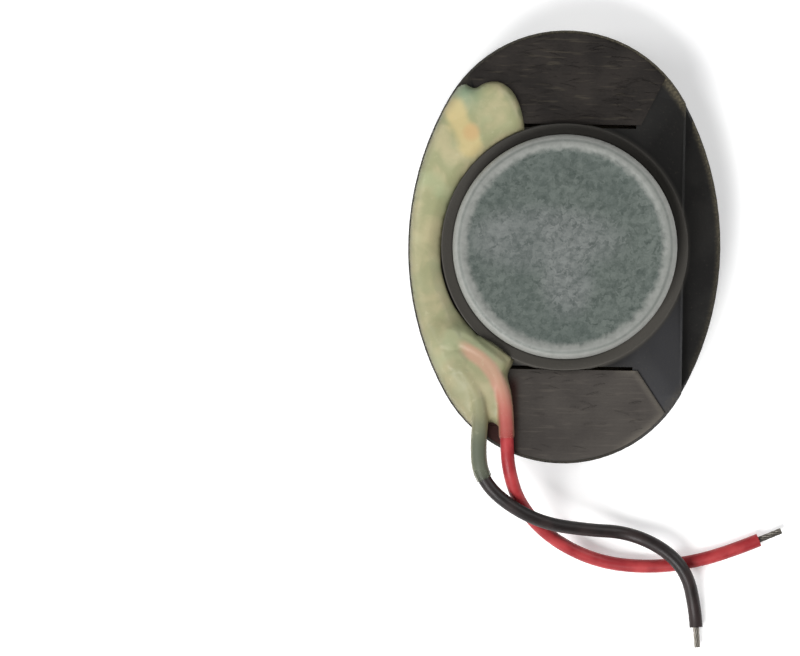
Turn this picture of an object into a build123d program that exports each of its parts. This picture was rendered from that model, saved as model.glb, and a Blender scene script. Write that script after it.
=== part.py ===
from build123d import *
import os
from math import atan2, cos, degrees, hypot, pi, radians, sin, sqrt, tan

# An oval miniature loudspeaker lying on its front gasket with the magnet cup up.
# Millimetres. Origin under the middle of the oval, at the surface it lies on.
# +Z points to the back of the speaker, +Y along the long side of the oval.

# Four-arc oval that the whole speaker is drawn on
HALF_WIDTH = 6.5
HALF_LENGTH = 9.0
TIP_RADIUS = 5.6

# Heights of the stack, front to back
GASKET_THICKNESS = 0.5
SCREEN_THICKNESS = 0.08
COVER_THICKNESS = 0.18
RING_THICKNESS = 0.5
FILM = 0.06
FLANGE_Z = 2.0
BACK_Z = 2.75
COLLAR_Z = 3.1
CUP_Z = 4.0

SCREEN_Z = GASKET_THICKNESS
COVER_Z = SCREEN_Z + SCREEN_THICKNESS
RING_Z = COVER_Z + COVER_THICKNESS
FILM_Z = RING_Z + RING_THICKNESS
LEDGE_Z = FILM_Z + FILM

# How far each oval step lies inside the outline
COVER_SEAT_INSET = 0.28
FILM_SEAT_INSET = 0.45
CAVITY_INSET = 0.95
SEAT_GAP = 0.03

# Foam gasket opening, an oval of its own
OPENING_HALF_WIDTH = 4.58
OPENING_HALF_LENGTH = 6.85
OPENING_TIP_RADIUS = 3.95

# Motor: cup, magnet, pole plate and voice coil
CUP_RADIUS = 4.655
CUP_WALL = 0.5
CUP_RIM_Z = 1.72
CUP_EDGE_RADIUS = 0.38
CUP_EDGE_STEP = CUP_EDGE_RADIUS * (1 - sqrt(0.5))
POLE_RADIUS = 3.7
POLE_THICKNESS = 0.45
MAGNET_RADIUS = 3.6
COIL_INNER_RADIUS = 3.84
COIL_OUTER_RADIUS = 4.02
COIL_HEIGHT = 1.23

# Basket details
COLLAR_RADIUS = 5.15
HOUSING_RADIUS = 5.05
BORE_RADIUS = 4.67
LIP_RADIUS = 4.28
LIP_THICKNESS = 0.15
FUNNEL_RADIUS = 5.07
FUNNEL_DEPTH = 0.3
FUNNEL_TAPER = 48
PLATEAU_HALF_WIDTH = 4.95
SIDE_CEILING_Z = 1.62
CAVITY_CEILING_Z = 2.3
CAVITY_HALF_WIDTH = 4.5
EDGE_BREAK = 0.1

# Rear vents and the screens stuck over them
SCREEN_EDGE_Y = 5.1
SCREEN_EDGE_HALF_WIDTH = 3.1
TOP_SCREEN_SLOPE = 0.53
BOTTOM_SCREEN_SLOPE = 0.73
VENT_SCREEN_THICKNESS = 0.12
VENT_LAND = 0.2
VENT_MARGIN = 0.3
RIB_WIDTH = 0.5

# Terminal board, copper and solder on the left of the back
BOARD_INSET = 0.3
BOARD_INNER_RADIUS = 5.22
BOARD_HALF_ANGLE = 54.0
BOARD_THICKNESS = 0.3
COPPER_THICKNESS = 0.04
OUTER_TRACE_RADIUS = 5.95
INNER_TRACE_RADIUS = 5.44
TRACE_WIDTH = 0.28
SIDE_PAD = (-4.75, 3.9)
END_PAD = (-4.45, 4.82)
PAD_RADIUS = 0.42
BEAD_RADIUS = 0.38
BEAD_TOP_RADIUS = 0.14
BEAD_SIDES = 12

# Flying leads
LEAD_RADIUS = 0.28
STRAND_RADIUS = 0.165
LEAD_BORE_GAP = 0.015
LEAD_SIDES = 8
LEAD_Z = 3.22
FLOOR_Z = 0.3
FIRST_RUN_BARE = 0.62
RED_BARE_END = 1.0
BLACK_BARE_END = 0.84

RED_ROUTE = [
    (-4.95, -3.8, LEAD_Z),
    (-3.8, -4.15, LEAD_Z),
    (-2.84, -5.0, LEAD_Z),
    (-2.36, -6.4, LEAD_Z),
    (-2.29, -7.95, LEAD_Z),
    (-2.2, -9.3, 3.1),
    (-1.68, -10.79, 2.1),
    (-0.33, -12.19, 1.0),
    (1.6, -13.11, 0.38),
    (3.76, -13.33, FLOOR_Z),
    (5.84, -13.02, FLOOR_Z),
    (7.58, -12.42, FLOOR_Z),
    (9.27, -11.7, FLOOR_Z),
]
BLACK_ROUTE = [
    (-4.58, -4.66, LEAD_Z),
    (-3.65, -5.8, LEAD_Z),
    (-3.36, -6.95, LEAD_Z),
    (-3.47, -8.24, 3.2),
    (-3.38, -9.5, 3.1),
    (-2.5, -10.55, 2.95),
    (-0.8, -11.49, 2.3),
    (1.12, -11.77, 1.2),
    (2.83, -11.85, 0.5),
    (4.37, -12.49, 0.98),
    (5.36, -13.5, 0.98),
    (5.73, -15.05, FLOOR_Z),
    (5.85, -16.62, FLOOR_Z),
]


def four_arc_oval(half_width, half_length, tip_radius):
    """Return a flat oval of two side arcs and two tip arcs that meet smoothly."""
    tip_centre = half_length - tip_radius
    side_radius = (half_width**2 + tip_centre**2 - tip_radius**2) / (2 * (half_width - tip_radius))
    side_centre = side_radius - half_width
    turn = degrees(atan2(tip_centre, side_centre))
    with BuildSketch() as outline:
        with BuildLine():
            CenterArc((-side_centre, 0), side_radius, -turn, 2 * turn)
            CenterArc((0, tip_centre), tip_radius, turn, 180 - 2 * turn)
            CenterArc((side_centre, 0), side_radius, 180 - turn, 2 * turn)
            CenterArc((0, -tip_centre), tip_radius, 180 + turn, 180 - 2 * turn)
        make_face()
    return outline.sketch


def oval(inset):
    """Return the speaker's outline moved inwards by inset."""
    return four_arc_oval(HALF_WIDTH - inset, HALF_LENGTH - inset, TIP_RADIUS - inset)


def half_length_at(x, inset):
    """Return half the length of the inset outline at a distance x from its long axis."""
    return HALF_LENGTH - TIP_RADIUS + sqrt((TIP_RADIUS - inset) ** 2 - x**2)


def vent_outline(land, inset, end):
    """Return the four-sided vent shape at one end, end = 1 or -1, smaller by land."""
    far_y = HALF_LENGTH + 1
    near = SCREEN_EDGE_HALF_WIDTH - land
    slope = TOP_SCREEN_SLOPE if end == 1 else BOTTOM_SCREEN_SLOPE
    far = near + slope * (far_y - SCREEN_EDGE_Y)
    with BuildSketch() as outline:
        with BuildLine():
            Polyline(
                (-near, end * SCREEN_EDGE_Y),
                (near, end * SCREEN_EDGE_Y),
                (far, end * far_y),
                (-far, end * far_y),
                close=True,
            )
        make_face()
        add(oval(inset), mode=Mode.INTERSECT)
    return outline.sketch


def board_outline(inset, inner_radius, half_angle):
    """Return the crescent of the terminal board, between the collar and the rim."""
    reach = 2 * HALF_LENGTH
    angle = radians(half_angle)
    with BuildSketch() as outline:
        with BuildLine():
            Polyline(
                (0, 0),
                (-reach * cos(angle), reach * sin(angle)),
                (-reach * cos(angle), -reach * sin(angle)),
                close=True,
            )
        make_face()
        add(oval(inset), mode=Mode.INTERSECT)
        Circle(inner_radius, mode=Mode.SUBTRACT)
    return outline.sketch


# ---------------------------------------------------------------- basket
# One moulding: oval wall, stepped front seats, air chamber, bore and collar for
# the cup, raised back with a low flange on the right, vents, and board pocket.

with BuildPart() as basket:
    with BuildSketch(Plane.XY.offset(GASKET_THICKNESS)):
        add(oval(0))
    extrude(amount=FLANGE_Z - GASKET_THICKNESS)
    chamfer(basket.faces().sort_by(Axis.Z)[-1].edges(), length=EDGE_BREAK)
    chamfer(basket.faces().sort_by(Axis.Z)[0].edges(), length=EDGE_BREAK)

    with BuildSketch(Plane.XY.offset(FLANGE_Z - 0.2)):
        add(oval(0))
        with Locations((PLATEAU_HALF_WIDTH - HALF_LENGTH, 0)):
            Rectangle(2 * HALF_LENGTH, 3 * HALF_LENGTH, mode=Mode.INTERSECT)
    extrude(amount=BACK_Z - FLANGE_Z + 0.2)
    chamfer(basket.faces().sort_by(Axis.Z)[-1].edges(), length=EDGE_BREAK)

    with BuildSketch(Plane.XY.offset(CAVITY_CEILING_Z)):
        Circle(COLLAR_RADIUS)
    extrude(amount=COLLAR_Z - CAVITY_CEILING_Z, taper=2)

    # seats for the cover and the film ring, cut from the front
    with BuildSketch(Plane.XY.offset(GASKET_THICKNESS)):
        add(oval(COVER_SEAT_INSET))
    extrude(amount=RING_Z - GASKET_THICKNESS, mode=Mode.SUBTRACT)
    with BuildSketch(Plane.XY.offset(RING_Z)):
        add(oval(FILM_SEAT_INSET))
    extrude(amount=LEDGE_Z - RING_Z, mode=Mode.SUBTRACT)

    # air chamber behind the film, lower under the side flanges
    with BuildSketch(Plane.XY.offset(LEDGE_Z)):
        add(oval(CAVITY_INSET))
    extrude(amount=SIDE_CEILING_Z - LEDGE_Z, mode=Mode.SUBTRACT)
    with BuildSketch(Plane.XY.offset(SIDE_CEILING_Z)):
        add(oval(CAVITY_INSET))
        Rectangle(2 * CAVITY_HALF_WIDTH, 2 * HALF_LENGTH, mode=Mode.INTERSECT)
        Circle(HOUSING_RADIUS, mode=Mode.SUBTRACT)
    extrude(amount=CAVITY_CEILING_Z - SIDE_CEILING_Z, mode=Mode.SUBTRACT)

    # cup housing hanging into the chamber, with a lip under the cup's rim and a
    # funnel round its mouth
    with BuildSketch(Plane.XY.offset(CUP_RIM_Z - LIP_THICKNESS)):
        Circle(HOUSING_RADIUS)
    extrude(amount=SIDE_CEILING_Z - CUP_RIM_Z + LIP_THICKNESS)
    with BuildSketch(Plane.XY.offset(CUP_RIM_Z - LIP_THICKNESS)):
        Circle(LIP_RADIUS)
    extrude(amount=COLLAR_Z, mode=Mode.SUBTRACT)
    with BuildSketch(Plane.XY.offset(CUP_RIM_Z)):
        Circle(BORE_RADIUS)
    extrude(amount=COLLAR_Z, mode=Mode.SUBTRACT)
    with BuildSketch(Plane.XY.offset(COLLAR_Z)):
        Circle(FUNNEL_RADIUS)
    extrude(amount=-FUNNEL_DEPTH, taper=FUNNEL_TAPER, mode=Mode.SUBTRACT)

    # two vents at each end, either side of a rib
    for end in (1, -1):
        with BuildSketch(Plane.XY.offset(CAVITY_CEILING_Z)):
            add(vent_outline(VENT_LAND, CAVITY_INSET, end))
            with Locations((0, end * SCREEN_EDGE_Y)):
                Rectangle(2 * (SCREEN_EDGE_HALF_WIDTH - VENT_LAND), VENT_MARGIN)
            Circle(COLLAR_RADIUS + 0.02, mode=Mode.SUBTRACT)
            Rectangle(RIB_WIDTH, 2 * HALF_LENGTH, mode=Mode.SUBTRACT)
        extrude(amount=BACK_Z, mode=Mode.SUBTRACT)

    # pocket for the terminal board, and the slot that the coil's wires come up
    with BuildSketch(Plane.XY.offset(BACK_Z - BOARD_THICKNESS)):
        add(board_outline(BOARD_INSET - SEAT_GAP, BOARD_INNER_RADIUS - SEAT_GAP, BOARD_HALF_ANGLE + 0.3))
    extrude(amount=BACK_Z, mode=Mode.SUBTRACT)
    with BuildSketch(Plane.XY.offset(SIDE_CEILING_Z)):
        with Locations(Location((-3.52, 5.15), -62)):
            SlotOverall(1.1, 0.3)
    extrude(amount=BACK_Z, mode=Mode.SUBTRACT)

# ---------------------------------------------------------------- motor

with BuildPart() as yoke_cup:
    with BuildSketch(Plane.XZ):
        with BuildLine():
            Polyline(
                (0, CUP_Z),
                (CUP_RADIUS - CUP_EDGE_RADIUS, CUP_Z),
                (CUP_RADIUS - CUP_EDGE_STEP, CUP_Z - CUP_EDGE_STEP),
                (CUP_RADIUS, CUP_Z - CUP_EDGE_RADIUS),
                (CUP_RADIUS, CUP_RIM_Z),
                (CUP_RADIUS - CUP_WALL, CUP_RIM_Z),
                (CUP_RADIUS - CUP_WALL, CUP_Z - CUP_WALL),
                (0, CUP_Z - CUP_WALL),
                close=True,
            )
        make_face()
    revolve(axis=Axis.Z)

with BuildPart() as magnet:
    with BuildSketch(Plane.XY.offset(CUP_RIM_Z + POLE_THICKNESS)):
        Circle(MAGNET_RADIUS)
    extrude(amount=CUP_Z - CUP_WALL - CUP_RIM_Z - POLE_THICKNESS)

with BuildPart() as pole_plate:
    with BuildSketch(Plane.XY.offset(CUP_RIM_Z)):
        Circle(POLE_RADIUS)
    extrude(amount=POLE_THICKNESS)

with BuildPart() as voice_coil:
    with BuildSketch(Plane.XY.offset(LEDGE_Z)):
        Circle(COIL_OUTER_RADIUS)
        Circle(COIL_INNER_RADIUS, mode=Mode.SUBTRACT)
    extrude(amount=COIL_HEIGHT)

# ---------------------------------------------------------------- diaphragm
# One thin pressed film: clamped rim, pressed roll, flat land, centre dome.

ROLL_OUTER_INSET = 1.05
ROLL_WIDTH = 1.0
ROLL_DEPTH = 0.28
ROLL_TAPER = 42
DOME_RADIUS = 3.78
DOME_DEPTH = 0.24
DOME_SHOULDER = 2.2
DOME_SHOULDER_DEPTH = DOME_DEPTH * (1 - (DOME_SHOULDER / DOME_RADIUS) ** 2)



def roll_band(wall):
    """Return the pressed channel of the roll, larger by a wall's thickness."""
    depth = ROLL_DEPTH + wall
    with BuildPart() as band:
        with BuildSketch(Plane.XY.offset(LEDGE_Z)):
            add(oval(ROLL_OUTER_INSET - wall))
        extrude(amount=-depth, taper=ROLL_TAPER)
        with BuildSketch(Plane.XY.offset(LEDGE_Z)):
            add(oval(ROLL_OUTER_INSET + ROLL_WIDTH + wall))
        extrude(amount=-depth, taper=-ROLL_TAPER, mode=Mode.SUBTRACT)
    return band.part


with BuildPart() as diaphragm:
    with BuildSketch(Plane.XY.offset(FILM_Z)):
        add(oval(FILM_SEAT_INSET + SEAT_GAP))
        add(oval(ROLL_OUTER_INSET), mode=Mode.SUBTRACT)
        add(oval(ROLL_OUTER_INSET + ROLL_WIDTH))
        Circle(DOME_RADIUS, mode=Mode.SUBTRACT)
    extrude(amount=FILM)

    add(roll_band(FILM))
    add(roll_band(0), mode=Mode.SUBTRACT)

    with BuildSketch(Plane.XZ):
        with BuildLine():
            Polyline(
                (0, FILM_Z - DOME_DEPTH),
                (DOME_SHOULDER, FILM_Z - DOME_SHOULDER_DEPTH),
                (DOME_RADIUS, FILM_Z),
                (DOME_RADIUS, LEDGE_Z),
                (DOME_SHOULDER, LEDGE_Z - DOME_SHOULDER_DEPTH),
                (0, LEDGE_Z - DOME_DEPTH),
                close=True,
            )
        make_face()
    revolve(axis=Axis.Z)

with BuildPart() as diaphragm_ring:
    with BuildSketch(Plane.XY.offset(RING_Z)):
        add(oval(FILM_SEAT_INSET + SEAT_GAP))
        add(oval(CAVITY_INSET), mode=Mode.SUBTRACT)
    extrude(amount=RING_THICKNESS)

# ---------------------------------------------------------------- front

SOUND_SLOT_WIDTH = 1.2
SOUND_SLOT_PITCH = 2.4
SOUND_SLOT_MARGIN = 2.4

with BuildPart() as front_cover:
    with BuildSketch(Plane.XY.offset(COVER_Z)):
        add(oval(COVER_SEAT_INSET + SEAT_GAP))
        for step in (-1, 0, 1):
            slot_x = step * SOUND_SLOT_PITCH
            slot_length = 2 * half_length_at(slot_x, SOUND_SLOT_MARGIN)
            with Locations(Location((slot_x, 0), 90)):
                SlotOverall(slot_length, SOUND_SLOT_WIDTH, mode=Mode.SUBTRACT)
    extrude(amount=COVER_THICKNESS)

with BuildPart() as dust_screen:
    with BuildSketch(Plane.XY.offset(SCREEN_Z)):
        add(oval(COVER_SEAT_INSET + SEAT_GAP))
    extrude(amount=SCREEN_THICKNESS)

with BuildPart() as front_gasket:
    with BuildSketch():
        add(oval(COVER_SEAT_INSET))
        add(
            four_arc_oval(OPENING_HALF_WIDTH, OPENING_HALF_LENGTH, OPENING_TIP_RADIUS),
            mode=Mode.SUBTRACT,
        )
    extrude(amount=GASKET_THICKNESS)

# ---------------------------------------------------------------- rear vent screens


def vent_screen(end):
    """Return the cloth patch stuck over the vents at one end."""
    with BuildPart() as patch:
        with BuildSketch(Plane.XY.offset(BACK_Z)):
            add(vent_outline(0, 0.12, end))
            Circle(COLLAR_RADIUS, mode=Mode.SUBTRACT)
        extrude(amount=VENT_SCREEN_THICKNESS)
    return patch.part


vent_screen_top = vent_screen(1)
vent_screen_bottom = vent_screen(-1)

# ---------------------------------------------------------------- terminal board

with BuildPart() as terminal_board:
    with BuildSketch(Plane.XY.offset(BACK_Z - BOARD_THICKNESS)):
        add(board_outline(BOARD_INSET, BOARD_INNER_RADIUS, BOARD_HALF_ANGLE))
    extrude(amount=BOARD_THICKNESS)


def copper_trace(radius, pad):
    """Return one copper track round the board, with a round pad near each end."""
    pad_x, pad_y = pad
    pad_angle = degrees(atan2(pad_y, -pad_x))
    pad_reach = hypot(pad_x, pad_y)
    with BuildPart() as trace:
        with BuildSketch(Plane.XY.offset(BACK_Z)):
            with BuildLine(mode=Mode.PRIVATE) as centre:
                CenterArc((0, 0), radius, 180 - pad_angle, 2 * pad_angle)
            SlotArc(centre.edge(), TRACE_WIDTH)
            with Locations((pad_x, pad_y), (pad_x, -pad_y)):
                Circle(PAD_RADIUS)
            for side in (1, -1):
                link_angle = 180 - side * pad_angle
                link_radius = (radius + pad_reach) / 2
                link_x = link_radius * cos(radians(link_angle))
                link_y = link_radius * sin(radians(link_angle))
                with Locations(Location((link_x, link_y), link_angle)):
                    SlotCenterToCenter(abs(pad_reach - radius), TRACE_WIDTH)
        extrude(amount=COPPER_THICKNESS)
    return trace.part


red_trace = copper_trace(OUTER_TRACE_RADIUS, SIDE_PAD)
black_trace = copper_trace(INNER_TRACE_RADIUS, END_PAD)

# ---------------------------------------------------------------- leads


def corner_radii(route):
    """Return the largest arc that fits each corner of a route of straight runs."""
    points = [Vector(*point) for point in route]
    radii = []
    for before, corner, after in zip(points, points[1:], points[2:]):
        arriving = corner - before
        leaving = after - corner
        half_turn = radians(arriving.get_angle(leaving)) / 2
        radii.append(0.45 * min(arriving.length, leaving.length) / tan(half_turn))
    return radii


def lead_path(route, start_trim, end_trim):
    """Return the wire along a route, trimmed on its first and last run."""
    radii = corner_radii(route)
    points = [Vector(*point) for point in route]
    points[0] += (points[1] - points[0]).normalized() * start_trim
    points[-1] += (points[-2] - points[-1]).normalized() * end_trim
    with BuildLine() as path:
        FilletPolyline(*points, radius=radii)
    return path.wire()


def strand_bundle(route, end_bare):
    """Return the seven packed strands of a lead, with a round tinned end."""
    path = lead_path(route, 0, end_bare)
    with BuildPart() as bundle:
        with BuildSketch(Plane(origin=path @ 0, z_dir=path % 0)):
            RegularPolygon(STRAND_RADIUS, 6)
        sweep(path=path)
        with BuildSketch(Plane(origin=path @ 1, z_dir=path % 1)):
            Circle(STRAND_RADIUS)
        extrude(amount=end_bare)
    return bundle.part


def insulation_tube(route, sides, bore, end_bare):
    """Return a lead's insulation, or with no bore the space that the lead takes up."""
    path = lead_path(route, FIRST_RUN_BARE, end_bare)
    with BuildPart() as tube:
        with BuildSketch(Plane(origin=path @ 0, z_dir=path % 0)) as section:
            RegularPolygon(LEAD_RADIUS, sides)
            if bore:
                RegularPolygon(bore, 6, mode=Mode.SUBTRACT)
        sweep(path=path)
    area = section.sketch.area
    print(
        "tube length", round(path.length, 2),
        "tightest arc", round(min(corner_radii(route)), 2),
        "volume over section x length", round(tube.part.volume / (area * path.length), 4),
    )
    return tube.part


bore_radius = STRAND_RADIUS + LEAD_BORE_GAP
red_strands = strand_bundle(RED_ROUTE, RED_BARE_END)
black_strands = strand_bundle(BLACK_ROUTE, BLACK_BARE_END)
red_insulation = insulation_tube(RED_ROUTE, LEAD_SIDES, bore_radius, RED_BARE_END)
black_insulation = insulation_tube(BLACK_ROUTE, LEAD_SIDES, bore_radius, BLACK_BARE_END)
red_lead_space = insulation_tube(RED_ROUTE, LEAD_SIDES, 0, RED_BARE_END)
black_lead_space = insulation_tube(BLACK_ROUTE, LEAD_SIDES, 0, BLACK_BARE_END)

# ---------------------------------------------------------------- coil wires
# Each end of the coil's own wire runs out along the film, up the slot in the
# basket and over to the pad at the top of its track.

COIL_WIRE_RADIUS = 0.05
COIL_WIRE_Z = LEDGE_Z + COIL_WIRE_RADIUS + 0.01
COIL_WIRE_TOP_Z = BACK_Z + 0.3
SIDE_WIRE_ROUTE = [
    (-2.4, 3.24, COIL_WIRE_Z),
    (-3.05, 4.25, COIL_WIRE_Z),
    (-3.4, 4.92, COIL_WIRE_Z),
    (-3.4, 4.92, COIL_WIRE_TOP_Z),
    (-3.85, 4.45, COIL_WIRE_TOP_Z),
    (-4.68, 3.93, BACK_Z + 0.14),
]
END_WIRE_ROUTE = [
    (-2.0, 3.5, COIL_WIRE_Z),
    (-2.75, 4.65, COIL_WIRE_Z),
    (-3.68, 5.38, COIL_WIRE_Z),
    (-3.68, 5.38, COIL_WIRE_TOP_Z),
    (-4.05, 5.22, COIL_WIRE_TOP_Z),
    (-4.42, 4.86, BACK_Z + 0.14),
]


def coil_wire(route):
    """Return one end of the coil's enamelled wire."""
    with BuildPart() as wire:
        with BuildLine() as path:
            FilletPolyline(*route, radius=0.16)
        with BuildSketch(Plane(origin=path.wire() @ 0, z_dir=path.wire() % 0)):
            RegularPolygon(COIL_WIRE_RADIUS, 4)
        sweep(path=path.wire())
    return wire.part


coil_wire_red = coil_wire(SIDE_WIRE_ROUTE)
coil_wire_black = coil_wire(END_WIRE_ROUTE)

# ---------------------------------------------------------------- solder joints


def solder_bead(place, height, wire):
    """Return a cone of solder on a pad, cut round the wire it holds."""
    with BuildPart() as joint:
        with BuildSketch(Plane.XY.offset(BACK_Z + COPPER_THICKNESS)):
            with Locations(place):
                RegularPolygon(BEAD_RADIUS, BEAD_SIDES)
        extrude(amount=height, taper=degrees(atan2(BEAD_RADIUS - BEAD_TOP_RADIUS, height)))
        add(wire, mode=Mode.SUBTRACT)
    return joint.part


lead_joint_red = solder_bead((SIDE_PAD[0], -SIDE_PAD[1]), 0.66, red_strands)
lead_joint_black = solder_bead((END_PAD[0], -END_PAD[1]), 0.66, black_strands)
coil_joint_red = solder_bead(SIDE_PAD, 0.3, coil_wire_red)
coil_joint_black = solder_bead(END_PAD, 0.3, coil_wire_black)

# ---------------------------------------------------------------- glue
# Clear adhesive poured over the board, the joints and the first of the leads.

GLUE_INSET = 0.12
GLUE_TOP_Z = 3.36
GLUE_EDGE = 0.15

with BuildPart() as glue_bead:
    with BuildSketch(Plane.XY.offset(BACK_Z)):
        with BuildLine():
            Spline((-1.62, 4.6), (-1.85, 5.6), (-2.25, 6.45), (-3.1, 6.76), (-5.4, 6.7))
            Polyline((-5.4, 6.7), (-8, 6.7), (-8, -8.6), (-4.3, -8.6))
            Spline((-4.3, -8.6), (-3.55, -7.75), (-2.92, -7.3), (-2.3, -7.7))
            Polyline((-2.3, -7.7), (-2.36, -6.4), (-2.36, -5.4), (-1.8, -4.4), (-1.62, 4.6))
        make_face()
        add(oval(GLUE_INSET), mode=Mode.INTERSECT)
        Circle(COLLAR_RADIUS + 0.02, mode=Mode.SUBTRACT)
    extrude(amount=GLUE_TOP_Z - BACK_Z)
    chamfer(glue_bead.faces().sort_by(Axis.Z)[-1].edges(), length=GLUE_EDGE)
    for inside in (
        vent_screen_top, vent_screen_bottom, red_trace, black_trace,
        lead_joint_red, lead_joint_black, coil_joint_red, coil_joint_black,
        red_strands, black_strands, red_lead_space, black_lead_space,
        coil_wire_red, coil_wire_black,
    ):
        add(inside, mode=Mode.SUBTRACT)

# ---------------------------------------------------------------- export

pieces = {
    "basket": basket.part,
    "yoke_cup": yoke_cup.part,
    "magnet": magnet.part,
    "pole_plate": pole_plate.part,
    "voice_coil": voice_coil.part,
    "diaphragm": diaphragm.part,
    "diaphragm_ring": diaphragm_ring.part,
    "front_cover": front_cover.part,
    "dust_screen": dust_screen.part,
    "front_gasket": front_gasket.part,
    "vent_screen_top": vent_screen_top,
    "vent_screen_bottom": vent_screen_bottom,
    "terminal_board": terminal_board.part,
    "red_trace": red_trace,
    "black_trace": black_trace,
    "lead_joint_red": lead_joint_red,
    "lead_joint_black": lead_joint_black,
    "coil_joint_red": coil_joint_red,
    "coil_joint_black": coil_joint_black,
    "coil_wire_red": coil_wire_red,
    "coil_wire_black": coil_wire_black,
    "red_strands": red_strands,
    "black_strands": black_strands,
    "red_insulation": red_insulation,
    "black_insulation": black_insulation,
    "glue_bead": glue_bead.part,
}

os.makedirs("parts", exist_ok=True)
for name, piece in pieces.items():
    piece.label = name
    export_step(piece, f"parts/{name}.step")
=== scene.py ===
# %% [markdown]
# # An oval miniature loudspeaker
#
# The speaker lies on its foam gasket with the magnet cup up, and its two leads curve
# away over the table. The construction model gives the frame, in metres. Most pieces
# below take their size and place from the boxes of its nodes. The leads, the coil's
# wires and the glue have no simple box, so they follow points that are given here.

# %% Load the frame
import math
import bmesh
import bpy
import numpy as np
from mathutils import Matrix, Vector, noise
from mathutils.geometry import delaunay_2d_cdt


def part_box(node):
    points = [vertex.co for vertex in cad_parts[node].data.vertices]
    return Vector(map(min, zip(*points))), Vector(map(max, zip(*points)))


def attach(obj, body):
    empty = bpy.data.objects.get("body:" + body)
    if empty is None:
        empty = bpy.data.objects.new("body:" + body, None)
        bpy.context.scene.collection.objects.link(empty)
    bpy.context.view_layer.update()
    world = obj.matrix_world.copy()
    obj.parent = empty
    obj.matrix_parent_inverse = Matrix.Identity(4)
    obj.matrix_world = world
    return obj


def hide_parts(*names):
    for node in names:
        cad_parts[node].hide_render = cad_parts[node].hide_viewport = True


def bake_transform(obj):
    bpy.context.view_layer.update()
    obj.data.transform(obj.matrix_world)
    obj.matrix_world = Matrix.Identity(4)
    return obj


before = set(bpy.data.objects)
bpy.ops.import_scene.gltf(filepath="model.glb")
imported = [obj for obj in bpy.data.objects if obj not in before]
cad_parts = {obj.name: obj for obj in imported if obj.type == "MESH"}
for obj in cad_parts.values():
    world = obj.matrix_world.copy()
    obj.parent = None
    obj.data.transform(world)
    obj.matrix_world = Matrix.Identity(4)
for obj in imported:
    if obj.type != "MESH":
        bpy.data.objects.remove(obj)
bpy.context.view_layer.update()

# %% [markdown]
# ## Sizes
#
# Millimetres are easier to think in for a part this small, so the helpers take
# millimetres and turn them into metres once, at the end. The sizes of the moulding,
# the cup and the stack come from the boxes of the construction model's nodes, and the
# few radii that no box shows are given as numbers.

# %% Sizes in millimetres
MM = 0.001
HALF_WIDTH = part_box("basket")[1].x / MM
HALF_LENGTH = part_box("basket")[1].y / MM
TIP_RADIUS = 5.6
BACK_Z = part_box("terminal_board")[1].z / MM
CUP_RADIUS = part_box("yoke_cup")[1].x / MM
CUP_TOP_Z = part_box("yoke_cup")[1].z / MM
CUP_RIM_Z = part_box("yoke_cup")[0].z / MM
GASKET_TOP_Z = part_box("front_gasket")[1].z / MM
SCREEN_TOP_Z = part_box("dust_screen")[1].z / MM
FILM_TOP_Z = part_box("diaphragm")[1].z / MM
FILM_EDGE_INSET = HALF_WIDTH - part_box("diaphragm")[1].x / MM
VENT_CLOTH_TOP_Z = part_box("vent_screen_top")[1].z / MM
COLLAR_TOP_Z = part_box("basket")[1].z / MM
COLLAR_RADIUS = 5.15
LEAD_RADIUS = 0.28
STRAND_BUNDLE_RADIUS = 0.13
print("half width", round(HALF_WIDTH, 3), "half length", round(HALF_LENGTH, 3), "cup", round(CUP_RADIUS, 3))

# %% [markdown]
# ## Camera
#
# The camera looks straight down from 40 cm through a long lens, which keeps the oval
# from bulging. It is turned by just under one degree about its own line of sight, and
# aimed beside the speaker, so that the leads and some clear table are in the picture.

# %% Camera
VIEW_WIDTH = 33.25
VIEW_CENTRE = (-6.784, -3.474)
CAMERA_HEIGHT = 402.5
FOCUS_HEIGHT = 2.5
SENSOR_WIDTH = 36.0

camera_data = bpy.data.cameras.new("camera")
camera_data.sensor_width = SENSOR_WIDTH
camera_data.lens = SENSOR_WIDTH * (CAMERA_HEIGHT - FOCUS_HEIGHT) / VIEW_WIDTH
camera_data.clip_end = 10.0
camera = bpy.data.objects.new("camera", camera_data)
bpy.context.scene.collection.objects.link(camera)
camera.location = Vector((VIEW_CENTRE[0], VIEW_CENTRE[1], CAMERA_HEIGHT)) * MM
camera.rotation_euler = (0.0, 0.0, math.atan(0.0157))
bpy.context.scene.camera = camera
print("lens", round(camera_data.lens, 1), "mm")

# %% [markdown]
# ## Light and table
#
# Small dark parts need light that is soft but still has a direction, or their edges
# vanish. One large lamp stands beyond the leads, a weaker one opposite opens the
# shadows and a third grazes the glue. Nothing bright hangs straight overhead: each flat
# face would mirror it up into the lens and turn dark plastic grey. The Standard view
# keeps the colours as they are mixed below.

# %% Lamps


def soft_lamp(name, place, size, power):
    """Add a square lamp that looks at the speaker; the place is in millimetres."""
    data = bpy.data.lights.new(name, "AREA")
    data.size = size * MM
    data.energy = power
    lamp = bpy.data.objects.new(name, data)
    lamp.location = Vector(place) * MM
    lamp.rotation_euler = Vector(place).to_track_quat("Z", "Y").to_euler()
    bpy.context.scene.collection.objects.link(lamp)


soft_lamp("key_lamp", (-150, -260, 330), 230, 2.2)
soft_lamp("fill_lamp", (260, 190, 280), 260, 0.8)
soft_lamp("side_lamp", (-330, 60, 220), 160, 0.5)

world = bpy.data.worlds.new("studio")
bpy.context.scene.world = world
world.use_nodes = True
background = world.node_tree.nodes["Background"]
background.inputs["Color"].default_value = (0.94, 0.96, 1.0, 1.0)
background.inputs["Strength"].default_value = 0.15
bpy.context.scene.view_settings.view_transform = "Standard"

# %% [markdown]
# ## Node arithmetic
#
# Finishes and repeated pieces are both node trees, and both are long sums. Wiring
# each Math node by hand hides the sum, so one small class wraps an output socket and
# gives it Python's operators, and one method adds any other node by its type, its
# settings and its inputs.

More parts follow.
